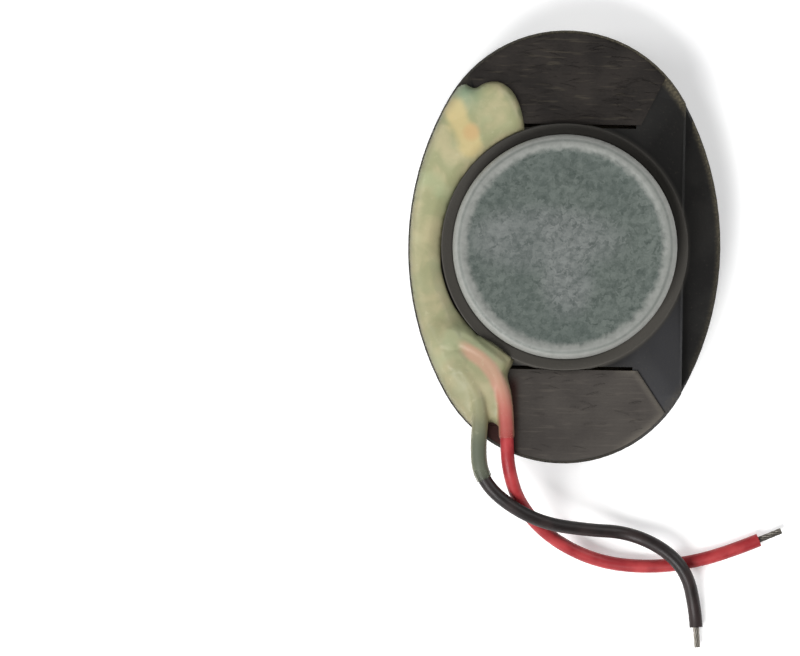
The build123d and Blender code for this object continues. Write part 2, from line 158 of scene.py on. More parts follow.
# %% Wires and graphs


class Wire:
    """An output socket that can be added, multiplied and compared like a number."""

    def __init__(self, graph, socket):
        self.graph = graph
        self.socket = socket

    def math(self, operation, other=0.0, swapped=False):
        first, second = (other, self) if swapped else (self, other)
        return self.graph.add("ShaderNodeMath", {"operation": operation}, {0: first, 1: second})

    def __add__(self, other):
        return self.math("ADD", other)

    def __radd__(self, other):
        return self.math("ADD", other, True)

    def __sub__(self, other):
        return self.math("SUBTRACT", other)

    def __rsub__(self, other):
        return self.math("SUBTRACT", other, True)

    def __mul__(self, other):
        return self.math("MULTIPLY", other)

    def __rmul__(self, other):
        return self.math("MULTIPLY", other, True)

    def __truediv__(self, other):
        return self.math("DIVIDE", other)

    def __rtruediv__(self, other):
        return self.math("DIVIDE", other, True)

    def __pow__(self, other):
        return self.math("POWER", other)

    def between(self, low, high):
        """Rise smoothly from 0 to 1 as the value goes from low to high."""
        inputs = {"Value": self, "From Min": low, "From Max": high}
        return self.graph.add("ShaderNodeMapRange", {"interpolation_type": "SMOOTHSTEP"}, inputs)


class Graph:
    """A node tree that is written as sums of wires."""

    def __init__(self, tree):
        self.tree = tree

    def add(self, kind, settings=None, inputs=None, output=0):
        """Add a node, set it up, link or fill its inputs, and return one of its outputs."""
        node = self.tree.nodes.new(kind)
        for name, value in (settings or {}).items():
            setattr(node, name, value)
        for key, value in (inputs or {}).items():
            if isinstance(value, Wire):
                self.tree.links.new(value.socket, node.inputs[key])
            else:
                node.inputs[key].default_value = value
        return Wire(self, node.outputs[output])

    def vector(self, operation, first, second):
        return self.add("ShaderNodeVectorMath", {"operation": operation}, {0: first, 1: second})


# %% [markdown]
# ## Finishes
#
# A finish is one material. All of them read Object coordinates turned into
# millimetres, so a noise of size 0.3 has grains 0.3 mm wide on every piece, whatever
# its shape, and nothing has to be unwrapped. Colours are given as a painter would mix
# them, from 0 to 255, and turned into the linear light that the shader wants.

# %% Finish class


def paint(red, green, blue):
    """Turn a display colour from 0 to 255 into linear light."""
    shares = (red / 255, green / 255, blue / 255)
    return tuple(((s + 0.055) / 1.055) ** 2.4 if s > 0.04 else s / 12.92 for s in shares) + (1.0,)


class Finish(Graph):
    """A material with its shader, and object coordinates in millimetres."""

    def __init__(self, name, fixed):
        self.name = name
        self.material = bpy.data.materials.new(name)
        self.material.use_nodes = True
        super().__init__(self.material.node_tree)
        self.shader = self.tree.nodes["Principled BSDF"]
        for socket, value in fixed.items():
            self.shader.inputs[socket].default_value = value
        metres = self.add("ShaderNodeTexCoord", output="Object")
        self.place = self.vector("MULTIPLY", metres, (1000.0, 1000.0, 1000.0))
        self.x, self.y, self.z = (
            self.add("ShaderNodeSeparateXYZ", None, {0: self.place}, axis) for axis in ("X", "Y", "Z")
        )

    def from_axis(self):
        """Distance from the speaker's axis."""
        return (self.x * self.x + self.y * self.y) ** 0.5

    def grain(self, size, stretch=(1.0, 1.0, 1.0), detail=3.0, warp=0.0):
        """Noise from 0 to 1 with grains of a size in millimetres."""
        place = self.vector("MULTIPLY", self.place, stretch)
        inputs = {"Vector": place, "Scale": 1 / size, "Detail": detail, "Distortion": warp}
        return self.add("ShaderNodeTexNoise", None, inputs)

    def blend(self, amount, first, second):
        """Mix two colours."""
        return self.add("ShaderNodeMix", {"data_type": "RGBA"}, {0: amount, 6: first, 7: second}, 2)

    def drive(self, socket, wire):
        self.tree.links.new(wire.socket, self.shader.inputs[socket])

    def relief(self, height, depth):
        """Bump whose full height is a depth in millimetres; it comes last in a finish."""
        self.drive("Normal", self.add("ShaderNodeBump", None, {"Height": height, "Distance": depth * MM}))
        print(self.name, "is made of", len(self.tree.nodes), "nodes")


# %% [markdown]
# ### Moulded basket
#
# The basket is dark glass-filled plastic. Plain black would look like a hole, so its
# grey drifts in broad patches and fine grains roughen it. The ring of the collar is
# painted lighter as a painted highlight, most in its lower half. The raised back has a
# painted sheen, greyer towards one corner, and painted shade, blacker towards another,
# and the top edge of the wall is a yellowish brown, most towards the upper right. Each
# of these could be painted on a map; worked out from the place instead, they stay sharp
# at any distance.

# %% Basket plastic
basket_plastic = Finish("basket_plastic", {"IOR": 1.5, "Specular IOR Level": 0.25})
cloud = basket_plastic.grain(1.6, detail=4.0)
specks = basket_plastic.grain(0.1, detail=4.0)
plateau = basket_plastic.z.between(2.5, 2.7)
across, along = basket_plastic.x / HALF_WIDTH, basket_plastic.y / HALF_LENGTH
reach = (across ** 2.0 + along ** 2.0) ** 0.5
upper_right = (across + along).between(0.2, 1.3)
low_flange = basket_plastic.x.between(5.1, 5.3)
top_edge = reach.between(0.955, 1.0) * (basket_plastic.z + low_flange * 0.6).between(2.35, 2.6)
# The top edge of the wall is tinted yellowish brown, most towards the upper right.
top_edge_tint = top_edge * (0.25 + upper_right * 0.75) * (0.4 + specks.between(0.4, 0.7) * 0.6)
outside_collar = basket_plastic.from_axis().between(COLLAR_RADIUS - 0.05, COLLAR_RADIUS + 0.15)
lit_lower_half = 1.0 - (basket_plastic.y * 0.8 + basket_plastic.x * 0.3).between(-2.5, 3.5)
sheen_lower_right = basket_plastic.x.between(1.5, 4.2) * (1.0 - basket_plastic.y.between(-3.6, 0.5))
flat_back = plateau * outside_collar
tone = basket_plastic.blend(cloud.between(0.35, 0.65), paint(22, 21, 20), paint(34, 33, 31))
# Painted highlight: the collar ring is painted lighter, most in its lower half.
tone = basket_plastic.blend((1.0 - outside_collar) * (0.5 + lit_lower_half * 0.4), tone, paint(74, 71, 66))
# Painted sheen greys the raised back towards its lower right.
tone = basket_plastic.blend(flat_back * sheen_lower_right * 0.85, tone, paint(55, 55, 57))
# Painted shade blackens the raised back towards its upper right.
tone = basket_plastic.blend(flat_back * upper_right * 0.7, tone, paint(15, 14, 12))
tone = basket_plastic.blend(specks.between(0.58, 0.74) * 0.16, tone, paint(74, 70, 61))
basket_plastic.drive("Base Color", basket_plastic.blend(top_edge_tint * 0.7, tone, paint(104, 96, 76)))
basket_plastic.drive("Roughness", 0.6 + cloud * 0.15 + specks * 0.08)
basket_plastic.relief(specks * 0.6 + cloud * 0.4, 0.012)

# %% [markdown]
# ### Plated steel
#
# The magnet cup is drawn from steel sheet and galvanised. Zinc freezes in small
# crystals, so the face is a mosaic of greys: Voronoi cells give each crystal its own
# tone, and noise smears their borders. Two soft patches in the middle are lighter. The
# drawn edge carries a painted highlight: a wide pale band and a bright line outside it,
# with a painted darker seam between them. The other metals are hidden or small, so they
# share a quieter recipe: one noise for the tarnish and a finer one for the tool marks.

# %% Cup plating
cup_plating = Finish("cup_plating", {"IOR": 1.6})
radius = cup_plating.from_axis()
warped = cup_plating.vector("ADD", cup_plating.place, cup_plating.grain(0.35, detail=2.0))
crystal = cup_plating.add("ShaderNodeTexVoronoi", None, {"Vector": warped, "Scale": 4.6}, "Color")
crystal_tone = cup_plating.add("ShaderNodeSeparateColor", None, {0: crystal}, 0)
mottle = cup_plating.grain(0.26, detail=4.5)
broad = cup_plating.grain(2.4, detail=2.0)
grit = cup_plating.grain(0.09, detail=2.0)
mosaic = (crystal_tone * 0.25 + mottle * 0.65 + grit * 0.35 - 0.12).between(0.1, 0.8)
# Two soft patches in the middle are lighter.
across_face = ((cup_plating.x + 0.9) / 3.2) ** 2.0 + ((cup_plating.y - 0.3) / 1.4) ** 2.0
below_middle = ((cup_plating.x - 0.1) / 1.1) ** 2.0 + ((cup_plating.y + 1.4) / 1.6) ** 2.0
lighter_patches = 1.0 - across_face.math("MINIMUM", below_middle).between(0.2, 1.5)
dim = cup_plating.blend(mosaic, paint(42, 54, 48), paint(92, 100, 94))
bright = cup_plating.blend(mosaic, paint(56, 64, 61), paint(114, 118, 115))
grey = cup_plating.blend(lighter_patches, dim, bright)
grey = cup_plating.blend(broad.between(0.42, 0.58) * 0.25, grey, paint(58, 70, 65))
# Painted highlight on the drawn edge: a pale band and a bright line, with a painted darker seam between.
wavy = radius + (mottle - 0.5) * 0.3
band = wavy.between(3.9, 4.22)
drifting = radius + (broad - 0.5) * 0.12
seam = drifting.between(4.32, 4.4) - drifting.between(4.41, 4.5)
lit_edge = radius.between(4.42, 4.5)
painted_edge_light = band * (0.5 + mottle * 0.4) - seam * mottle * 0.5 + lit_edge * 0.2
grey = cup_plating.blend(painted_edge_light, grey, paint(146, 147, 142))
cup_plating.drive("Base Color", grey)
cup_plating.drive("Metallic", 0.15 + band * 0.05)
cup_plating.drive("Roughness", 0.68 - crystal_tone * 0.1)
cup_plating.relief(crystal_tone * 0.4 + mottle * 0.6, 0.008)

# %% The other metals


def plated(name, dark, light, shine):
    """A plated metal finish with fine turning marks and cloudy tarnish."""
    finish = Finish(name, {"Metallic": 1.0})
    tarnish = finish.grain(0.9, detail=4.0)
    marks = finish.grain(0.05, stretch=(1.0, 1.0, 8.0), detail=2.0)
    finish.drive("Base Color", finish.blend(tarnish.between(0.3, 0.7), dark, light))
    finish.drive("Roughness", shine + marks * 0.2)
    finish.relief(marks, 0.006)
    return finish


magnet_plating = plated("magnet_plating", paint(150, 152, 150), paint(190, 190, 184), 0.2)
pole_plating = plated("pole_plating", paint(138, 146, 146), paint(180, 184, 180), 0.3)
cover_steel = plated("cover_steel", paint(120, 122, 120), paint(168, 168, 162), 0.35)
board_copper = plated("board_copper", paint(176, 104, 58), paint(216, 148, 92), 0.3)
solder = plated("solder", paint(168, 168, 164), paint(206, 204, 198), 0.22)
tinned = plated("tinned_strands", paint(78, 74, 68), paint(142, 137, 129), 0.35)

# %% [markdown]
# ### Cloth, felt and foam
#
# The vents are covered by cloth patches whose threads run across the speaker, so
# their noise is stretched along X. The lower patch has faded to a lighter grey brown,
# except for a painted shadow in dark red-brown beside the red lead, and its cut edge is
# paler, which an attribute on the mesh tells the finish. The dust screen is felt,
# without a direction, and the gasket is closed-cell foam: Voronoi cells make its pores,
# the edge that the die cut at the opening is paler, and the outer edge has a painted
# highlight.

# %% Vent cloth
vent_cloth = Finish("vent_cloth", {"IOR": 1.4, "Specular IOR Level": 0.25})
dashes = vent_cloth.grain(0.2, stretch=(0.16, 1.5, 1.0), detail=2.0)
lint = vent_cloth.grain(0.07, stretch=(0.6, 1.4, 1.0), detail=3.0)
drift = vent_cloth.grain(1.5, detail=3.0)
thread = (vent_cloth.y * (2 * math.pi / 0.17) + drift * 3.0).math("SINE") * 0.5 + 0.5
faded = 1.0 - vent_cloth.y.between(-3.0, 3.0)
faded = faded * (0.75 + vent_cloth.x.between(-2.0, 2.5) * 0.25)
dark = vent_cloth.blend(faded, paint(33, 30, 28), paint(62, 58, 55))
light = vent_cloth.blend(faded, paint(44, 40, 37), paint(70, 66, 62))
tone = vent_cloth.blend((drift * 0.7 + lint * 0.3).between(0.36, 0.64), dark, light)
fibre_tone = vent_cloth.blend(faded, paint(66, 61, 52), paint(80, 75, 70))
tone = vent_cloth.blend(dashes.between(0.56, 0.72) * (0.25 + drift * 0.5), tone, fibre_tone)
# Painted shadow: the cloth is dark red-brown beside the red lead.
painted_lead_shadow = vent_cloth.x.between(-1.7, -2.05) * (1.0 - vent_cloth.y.between(-5.9, -5.2))
tone = vent_cloth.blend(painted_lead_shadow * 0.8, tone, paint(54, 27, 24))
pale_edge = vent_cloth.add("ShaderNodeAttribute", {"attribute_name": "pale_edge"}, None, "Fac")
vent_cloth.drive("Base Color", vent_cloth.blend(pale_edge * (0.45 + lint * 0.6), tone, paint(100, 95, 87)))
vent_cloth.drive("Roughness", 0.8 + lint * 0.15)
vent_cloth.relief(thread * 0.5 + lint * 0.5, 0.006)

# %% Felt screen
screen_felt = Finish("screen_cloth", {"Sheen Weight": 0.12, "Sheen Roughness": 0.6, "IOR": 1.4})
tuft = screen_felt.grain(0.45, detail=5.0, warp=0.8)
nap = screen_felt.grain(0.08, detail=3.0)
matted = (tuft * 0.7 + nap * 0.3).between(0.35, 0.65)
screen_felt.drive("Base Color", screen_felt.blend(matted, paint(36, 32, 30), paint(46, 42, 39)))
screen_felt.drive("Roughness", 0.8 + nap * 0.15)
screen_felt.relief(tuft * 0.4 + nap * 0.6, 0.05)

# %% Gasket foam
gasket_foam = Finish("gasket_foam", {"IOR": 1.4})
pores = gasket_foam.add("ShaderNodeTexVoronoi", None, {"Vector": gasket_foam.place, "Scale": 9.0}, "Distance")
patches = gasket_foam.grain(1.2, detail=4.0)
# Pale cut edge at the opening, and a painted highlight on the outer edge.
cut_and_highlight = gasket_foam.add("ShaderNodeAttribute", {"attribute_name": "cut_edge_and_highlight"}, None, "Fac")
foam = gasket_foam.blend(patches.between(0.35, 0.65), paint(35, 33, 29), paint(45, 42, 36))
foam = gasket_foam.blend(cut_and_highlight * (0.55 + patches * 0.4), foam, paint(112, 108, 98))
gasket_foam.drive("Base Color", foam)
gasket_foam.drive("Roughness", 0.72 + pores * 0.3)
gasket_foam.relief(pores, 0.03)

# %% [markdown]
# ### Glue, insulation and the rest
#
# The adhesive is a clear resin that has yellowed. What it covers shows through where
# it is thin, and the law for that is short: each further bit of depth hides the same
# share of what is left. So the mesh carries its own depth, and Alpha is one minus an
# exponential of it. Light scattered in the resin also picks up the colour of what lies
# near, hence the three tints. A volume shader would do this by itself, but it is slow
# and no export keeps it. The resin also has painted shade where it is thin and towards
# the black collar and rim.
#
# The leads are soft PVC with a faint waxy gloss. The film bends as it moves, so its
# grain ignores height and stays put on it.

# %% Glue
glue = Finish("glue", {"IOR": 1.5, "Specular IOR Level": 0.35, "Coat Roughness": 0.25})
haze = glue.grain(1.1, detail=4.0, warp=0.5)
bubble = glue.grain(0.2, detail=3.0)
green_end = glue.x.between(-3.2, -4.3) * glue.y.between(5.2, 6.4)
resin = glue.blend(haze.between(0.35, 0.65), paint(146, 147, 110), paint(170, 162, 126))
resin = glue.blend(glue.grain(2.2, detail=2.0).between(0.48, 0.66) * 0.6, resin, paint(148, 162, 124))
resin = glue.blend(green_end * 0.7, resin, paint(118, 146, 122))
resin = glue.blend((1.0 - glue.y.between(-6.0, 3.0)) * 0.3, resin, paint(122, 114, 90))
depth = glue.add("ShaderNodeAttribute", {"attribute_name": "depth"}, None, "Fac")
# Painted shade where the glue is thin.
resin = glue.blend((1.0 - depth.between(0.1, 0.45)) * 0.3, resin, paint(118, 114, 90))
salmon = glue.blend(glue.y.between(-7.5, -5.0), paint(186, 84, 82), paint(176, 138, 116))
murky = glue.blend(glue.y.between(-8.4, -7.4), paint(80, 96, 86), paint(128, 136, 112))
for name, seen, share, ragged in (
    ("over_copper", paint(196, 176, 124), 0.7, 0.9),
    ("over_red", salmon, 0.85, 0.5),
    ("over_black", murky, 0.8, 0.4),
):
    near = glue.add("ShaderNodeAttribute", {"attribute_name": name}, None, "Fac")
    resin = glue.blend((near + (haze - 0.5) * ragged).between(0.15, 0.9) * share, resin, seen)
hot_spot = 1.0 - ((glue.x + 3.95) ** 2.0 + (glue.y - 4.7) ** 2.0).between(0.0, 0.22)
resin = glue.blend(hot_spot * 0.38, resin, paint(190, 138, 92))
# Painted shade in the glue towards the black collar and the rim.
collar_shade = 1.0 - glue.from_axis().between(COLLAR_RADIUS, COLLAR_RADIUS + 0.45)
rim_shade = ((glue.x / HALF_WIDTH) ** 2.0 + (glue.y / HALF_LENGTH) ** 2.0).between(0.88, 1.0)
resin = glue.blend(collar_shade.math("MAXIMUM", rim_shade) * 0.28, resin, paint(104, 100, 78))
glue.drive("Base Color", glue.blend(bubble.between(0.6, 0.8) * 0.2, resin, paint(190, 186, 156)))
glue.drive("Roughness", 0.45 + haze * 0.15)
glue.drive("Coat Weight", 0.05 + haze * 0.1)
CLEAR_DEPTH = 0.13
glue.drive("Alpha", 1.0 - (depth / -CLEAR_DEPTH).math("EXPONENT"))
glue.relief(haze * 0.7 + bubble * 0.3, 0.03)

# %% Lead insulation


def soft_pvc(name, deep, bright):
    """Lead insulation with a slightly uneven extruded surface."""
    finish = Finish(name, {"IOR": 1.46, "Specular IOR Level": 0.4})
    wave = finish.grain(0.9, detail=3.0)
    dust = finish.grain(0.06, detail=2.0)
    tone = finish.blend(wave.between(0.35, 0.65), deep, bright)
    finish.drive("Base Color", tone)
    finish.drive("Roughness", 0.4 + wave * 0.16 + dust * 0.08)
    finish.drive("Coat Weight", 0.02 + wave * 0.06)
    finish.relief(wave * 0.5 + dust * 0.5, 0.01)
    return finish


red_pvc = soft_pvc("red_insulation", paint(140, 30, 36), paint(168, 54, 56))
black_pvc = soft_pvc("black_insulation", paint(22, 15, 14), paint(38, 27, 26))

# %% Film, ring, board and coil enamel


def dull(name, dark, light, roughness, size, depth, stretch=(1.0, 1.0, 1.0)):
    """A plain dull finish whose tone and relief share one grain."""
    finish = Finish(name, {"IOR": 1.5})
    patch = finish.grain(size, stretch, detail=4.0)
    fine = finish.grain(size * 0.15, stretch, detail=2.0)
    finish.drive("Base Color", finish.blend((patch * 0.7 + fine * 0.3).between(0.35, 0.65), dark, light))
    finish.drive("Roughness", roughness + fine * 0.15)
    finish.relief(patch * 0.4 + fine * 0.6, depth)
    return finish


film_finish = dull("film", paint(150, 128, 84), paint(178, 156, 108), 0.3, 1.5, 0.008, (1.0, 1.0, 0.0))
ring_plastic = dull("ring_plastic", paint(64, 62, 58), paint(84, 80, 74), 0.5, 0.8, 0.01)
board_laminate = dull("board_laminate", paint(176, 164, 116), paint(198, 186, 138), 0.55, 0.6, 0.012)
coil_copper = plated("coil_copper", paint(150, 70, 36), paint(200, 112, 62), 0.25)
print("finishes", len(bpy.data.materials))

# %% [markdown]
# ## Making meshes
#
# Three kinds of form cover nearly every piece here: a flat plate with a shaped face,
# a turned part, and a tube along a route. Each has one helper that works in
# millimetres. `place_piece` then scales the mesh, smooths it and tells the frame which
# body the piece rides on and which construction nodes it stands for. A film and its
# wires bend between two bodies, so they are given none here.

# %% Placing a piece


def place_piece(name, mesh, finish, stands_for, body="speaker", smooth_angle=60.0):
    """Turn a mesh in millimetres into a finished piece in metres."""
    mesh.transform(Matrix.Scale(MM, 4))
    return settle_piece(name, mesh, finish, stands_for, body, smooth_angle)


def settle_piece(name, mesh, finish, stands_for, body, smooth_angle):
    """Give a mesh in metres its finish and smoothing, its body, and its nodes."""
    mesh.name = name
    mesh.materials.clear()
    mesh.materials.append(finish.material)
    mesh.polygons.foreach_set("use_smooth", [True] * len(mesh.polygons))
    mesh.set_sharp_from_angle(angle=math.radians(smooth_angle))
    piece = bpy.data.objects.new(name, mesh)
    bpy.context.scene.collection.objects.link(piece)
    if body:
        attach(piece, body)
    if stands_for:
        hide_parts(*stands_for)
    print(name, len(mesh.polygons), "faces")
    return piece


def mesh_of(vertices, faces):
    mesh = bpy.data.meshes.new("piece")
    mesh.from_pydata([tuple(v) for v in vertices], [], faces)
    mesh.update()
    return mesh


def welded(mesh, distance):
    """Merge a mesh's doubled points and turn its faces outwards."""
    work = bmesh.new()
    work.from_mesh(mesh)
    bmesh.ops.remove_doubles(work, verts=work.verts, dist=distance)
    bmesh.ops.recalc_face_normals(work, faces=work.faces)
    work.to_mesh(mesh)
    work.free()
    return mesh


def baked_mesh(holder):
    """The plain mesh that an object makes with its modifiers; the object is then removed."""
    bpy.context.scene.collection.objects.link(holder)
    depsgraph = bpy.context.evaluated_depsgraph_get()
    mesh = bpy.data.meshes.new_from_object(holder.evaluated_get(depsgraph))
    bpy.data.objects.remove(holder)
    return mesh


def mark_points(mesh, name, values):
    """Store one number at every point of a mesh, for its finish to read."""
    mesh.attributes.new(name, "FLOAT", "POINT").data.foreach_set("value", values)


# %% [markdown]
# ### The oval
#
# Everything on this speaker follows a four-arc oval: two long side arcs and two tip
# arcs that meet without a corner. Moving the outline inwards only shortens the four
# radii, so one function gives every step of the moulding.

# %% Oval outline


def oval_loop(half_width, half_length, tip_radius, count):
    """Points round a four-arc oval, at even angles about its middle."""
    tip = half_length - tip_radius
    side_radius = (half_width**2 + tip**2 - tip_radius**2) / (2 * (half_width - tip_radius))
    side = side_radius - half_width
    points = []
    for step in range(count):
        angle = 2 * math.pi * step / count
        across = abs(math.cos(angle))
        along = abs(math.sin(angle))
        reach = -side * across + math.sqrt((side * across) ** 2 - side**2 + side_radius**2)
        if reach * along * side > tip * (reach * across + side):
            reach = tip * along + math.sqrt((tip * along) ** 2 - tip**2 + tip_radius**2)
        points.append((reach * math.cos(angle), reach * math.sin(angle)))
    return np.array(points)


def speaker_oval(inset, count):
    """The speaker's own oval, moved inwards by an inset."""
    return oval_loop(HALF_WIDTH - inset, HALF_LENGTH - inset, TIP_RADIUS - inset, count)


def node_oval(node, count):
    """The oval that fills the box of a construction node."""
    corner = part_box(node)[1]
    half_width, half_length = corner.x / MM, corner.y / MM
    return oval_loop(half_width, half_length, TIP_RADIUS + half_width - HALF_WIDTH, count)


print("oval of", len(speaker_oval(0.0, 180)), "points")


# %% [markdown]
# ### Plates with a shaped face
#
# Cloth, felt, foam and the glue pad are all plates whose face isn't flat. A filled
# outline alone has no points inside it to move, so a constrained Delaunay
# triangulation fills the outline with an even grid. The face then gets its height
# from a function of the place and of the distance from the nearest edge.

# %% Plate helper


def inside(points, loops):
    """Which points are inside the loops, counting crossings."""
    x, y = points[:, 0:1], points[:, 1:2]
    odd = np.zeros(len(points), bool)
    for loop in loops:
        start, end = loop, np.roll(loop, -1, 0)
        spans = (start[:, 1] > y) != (end[:, 1] > y)
        rise = np.where(end[:, 1] == start[:, 1], 1e-12, end[:, 1] - start[:, 1])
        crossing = start[:, 0] + (y - start[:, 1]) * (end[:, 0] - start[:, 0]) / rise
        odd ^= (spans & (x < crossing)).sum(1) % 2 == 1
    return odd


def edge_distance(points, loops):
    """Distance from each point to the nearest of the loops' edges."""
    nearest = np.full(len(points), 1e9)
    for loop in loops:
        start, step = loop, np.roll(loop, -1, 0) - loop
        length = (step**2).sum(1) + 1e-12
        for first in range(0, len(points), 4000):
            block = points[first:first + 4000, None, :] - start
            share = np.clip((block * step).sum(2) / length, 0, 1)
            gap = np.sqrt(((block - share[..., None] * step) ** 2).sum(2)).min(1)
            nearest[first:first + 4000] = np.minimum(nearest[first:first + 4000], gap)
    return nearest


def plate(loops, back_z, face_z, spacing, round_edge, shape):
    """A closed plate in millimetres; its face is at face_z, above or below its back.

    shape gives the face's extra height from its points and their distance from the edge.
    """
    low, high = np.vstack(loops).min(0), np.vstack(loops).max(0)
    columns = np.arange(low[0], high[0], spacing)
    rows = np.arange(low[1], high[1], spacing)
    grid = np.array([(x + 0.5 * spacing * (i % 2), y) for i, y in enumerate(rows) for x in columns])
    grid = grid[inside(grid, loops)]
    grid = grid[edge_distance(grid, loops) > 0.5 * spacing]
    points, edges = [], []
    for loop in loops:
        first = len(points)
        points += [tuple(p) for p in loop]
        edges += [(first + i, first + (i + 1) % len(loop)) for i in range(len(loop))]
    points += [tuple(p) for p in grid]
    flat, _, triangles, _, _, _ = delaunay_2d_cdt([Vector(p) for p in points], edges, [], 0, 1e-6)
    flat = np.array([(p.x, p.y) for p in flat])
    triangles = np.array([t for t in triangles])
    triangles = triangles[inside(flat[triangles].mean(1), loops)]
    used = np.unique(triangles)
    flat, triangles = flat[used], np.searchsorted(used, triangles)
    gap = edge_distance(flat, loops)
    drop = round_edge * (1 - np.sqrt(1 - (1 - np.clip(gap / max(round_edge, 1e-9), 0, 1)) ** 2))
    rise = 1.0 if face_z > back_z else -1.0
    face = np.column_stack([flat, face_z + rise * (shape(flat, gap) - drop)])
    back = np.column_stack([flat, np.full(len(flat), back_z)])
    count = len(flat)
    directed = {(a, b) for t in triangles for a, b in ((t[0], t[1]), (t[1], t[2]), (t[2], t[0]))}
    border = [(a, b) for a, b in directed if (b, a) not in directed]
    faces = [tuple(t) for t in triangles]
    faces += [tuple(t[::-1] + count) for t in triangles]
    faces += [(b, a, a + count, b + count) for a, b in border]
    if rise < 0:
        faces = [f[::-1] for f in faces]
    return mesh_of(np.vstack([face, back]), [tuple(int(i) for i in f) for f in faces])


def ripple(flat, size, height, seed=0.0):
    """Gentle unevenness of a height in millimetres, the same at every run."""
    return np.array([height * noise.noise(Vector((x / size, y / size, seed))) for x, y in flat])


# %% [markdown]
# ### Turned parts
#
# A turned part is a profile swung round an axis. The profile runs from pole to pole,
# or all the way round if the part has a hole, so the shell is always closed.

# %% Lathe helper


def lathe(profile, segments, centre=(0.0, 0.0)):
    """Turn a closed profile of (radius, height) in millimetres about a vertical axis."""
    vertices, rings = [], []
    for radius, height in profile:
        if radius < 1e-6:
            rings.append([len(vertices)] * segments)
            vertices.append((centre[0], centre[1], height))
            continue
        rings.append([len(vertices) + i for i in range(segments)])
        for i in range(segments):
            angle = 2 * math.pi * i / segments
            x, y = centre[0] + radius * math.cos(angle), centre[1] + radius * math.sin(angle)
            vertices.append((x, y, height))
    pairs = list(zip(rings, rings[1:]))
    if profile[0][0] > 1e-6:
        pairs.append((rings[-1], rings[0]))
    faces = []
    for first, second in pairs:
        for i in range(segments):
            j = (i + 1) % segments
            corners = (first[i], first[j], second[j], second[i])
            faces.append(tuple(dict.fromkeys(corners)))
    return welded(mesh_of(vertices, [f for f in faces if len(f) > 2]), 1e-6)


def rounded(centre, radius, start, end, steps=8):
    """Points of an arc in a profile, with its angles in degrees."""
    angles = [math.radians(start + (end - start) * i / steps) for i in range(steps + 1)]
    return [(centre[0] + radius * math.cos(a), centre[1] + radius * math.sin(a)) for a in angles]


# %% [markdown]
# ### Routes
#
# The leads and the coil's wires follow routes of listed points. A NURBS curve
# takes them as its controls, so it rounds every corner by itself. Anything that needs
# to know where the line runs reads it back from that curve.

# %% Route helpers


def route_curve(route, radius=0.0):
    """A NURBS curve with a route in millimetres as its controls, as thick as its radius."""
    curve = bpy.data.curves.new("route", "CURVE")
    curve.dimensions = "3D"
    spline = curve.splines.new("NURBS")
    spline.points.add(len(route) - 1)
    for point, place in zip(spline.points, route):
        point.co = (*place, 1.0)
    spline.order_u = 3
    spline.use_endpoint_u = True
    curve.resolution_u = 12
    curve.bevel_depth = radius
    curve.bevel_resolution = 7
    curve.use_fill_caps = True
    return bpy.data.objects.new("route", curve)


def tube_mesh(route, radius):
    """A closed tube along a route, welded at its caps."""
    return welded(baked_mesh(route_curve(route, radius)), 0.002)


def centreline(route):
    """Points along a route's curve, in order."""
    return [v.co.copy() for v in baked_mesh(route_curve(route)).vertices]


def trimmed(route, start, end):
    """The route with its first and last point moved along their runs."""
    points = [Vector(p) for p in route]
    points[0] += (points[1] - points[0]).normalized() * start
    points[-1] += (points[-2] - points[-1]).normalized() * end
    return points


# %% [markdown]
# ## Geometry Nodes
#
# What repeats is grown by a node tree: strands, windings and fibres. A tree has named
# inputs for its sizes. The modifier's result is baked to a plain mesh, because the
# frame and the export want plain meshes with no live modifier.

# %% Growing a piece


class Grower(Graph):
    """A geometry node tree with named sizes, all in millimetres, as its inputs."""

    def __init__(self, name, sizes):
        super().__init__(bpy.data.node_groups.new(name, "GeometryNodeTree"))
        face = self.tree.interface
        face.new_socket("Geometry", in_out="INPUT", socket_type="NodeSocketGeometry")
        face.new_socket("Geometry", in_out="OUTPUT", socket_type="NodeSocketGeometry")
        for size, value in sizes.items():
            face.new_socket(size, in_out="INPUT", socket_type="NodeSocketFloat").default_value = value
        self.entry = self.tree.nodes.new("NodeGroupInput")

    def given(self, name="Geometry"):
        return Wire(self, self.entry.outputs[name])

    def tube(self, line, radius, sides):
        """Give a line a round section and closed ends."""
        section = self.add("GeometryNodeCurvePrimitiveCircle", None, {"Resolution": sides, "Radius": radius})
        inputs = {"Curve": line, "Profile Curve": section, "Fill Caps": True}
        return self.add("GeometryNodeCurveToMesh", None, inputs)

    def end(self, geometry, finish):
        """Smooth, realise and paint the result, and send it out."""
        smooth = self.add("GeometryNodeSetShadeSmooth", None, {0: geometry})
        plain = self.add("GeometryNodeRealizeInstances", None, {0: smooth})
        painted = self.add("GeometryNodeSetMaterial", None, {"Geometry": plain, "Material": finish.material})
        exit_node = self.tree.nodes.new("NodeGroupOutput")
        self.tree.links.new(painted.socket, exit_node.inputs[0])
        print(self.tree.name, "is grown by", len(self.tree.nodes), "nodes")

    def grow(self, mesh, sizes):
        """Run the tree on a mesh in millimetres and return the grown mesh."""
        holder = bpy.data.objects.new("holder", mesh)
        modifier = holder.modifiers.new("grow", "NODES")
        modifier.node_group = self.tree
        for item in self.tree.interface.items_tree:
            if item.in_out == "INPUT" and item.name in sizes:
                modifier[item.identifier] = float(sizes[item.name])
        return baked_mesh(holder)


# %% [markdown]
# ## Basket
#
# The construction model's basket has the right steps, bores and vents already, so
# drawing it again would only add faults. But each of its triangles is shaded by itself.
# A merged copy shares its corners, so its round walls shade as round, while edges over
# thirty degrees stay crisp.

# %% Basket moulding
basket_mesh = welded(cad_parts["basket"].data.copy(), 1e-7)
settle_piece("basket_moulding", basket_mesh, basket_plastic, ["basket"], "speaker", 30.0)

# %% [markdown]
# ## Magnet cup
#
# The cup is drawn over a punch, so its back edge is round and stands a hair proud of
# the flat face. That thin crown catches the light as a bright ring. A bevelled cylinder
# has no crown, so the cup is turned from a profile: its face, the round edge, the wall
# and the inside, read from the middle outwards and back.

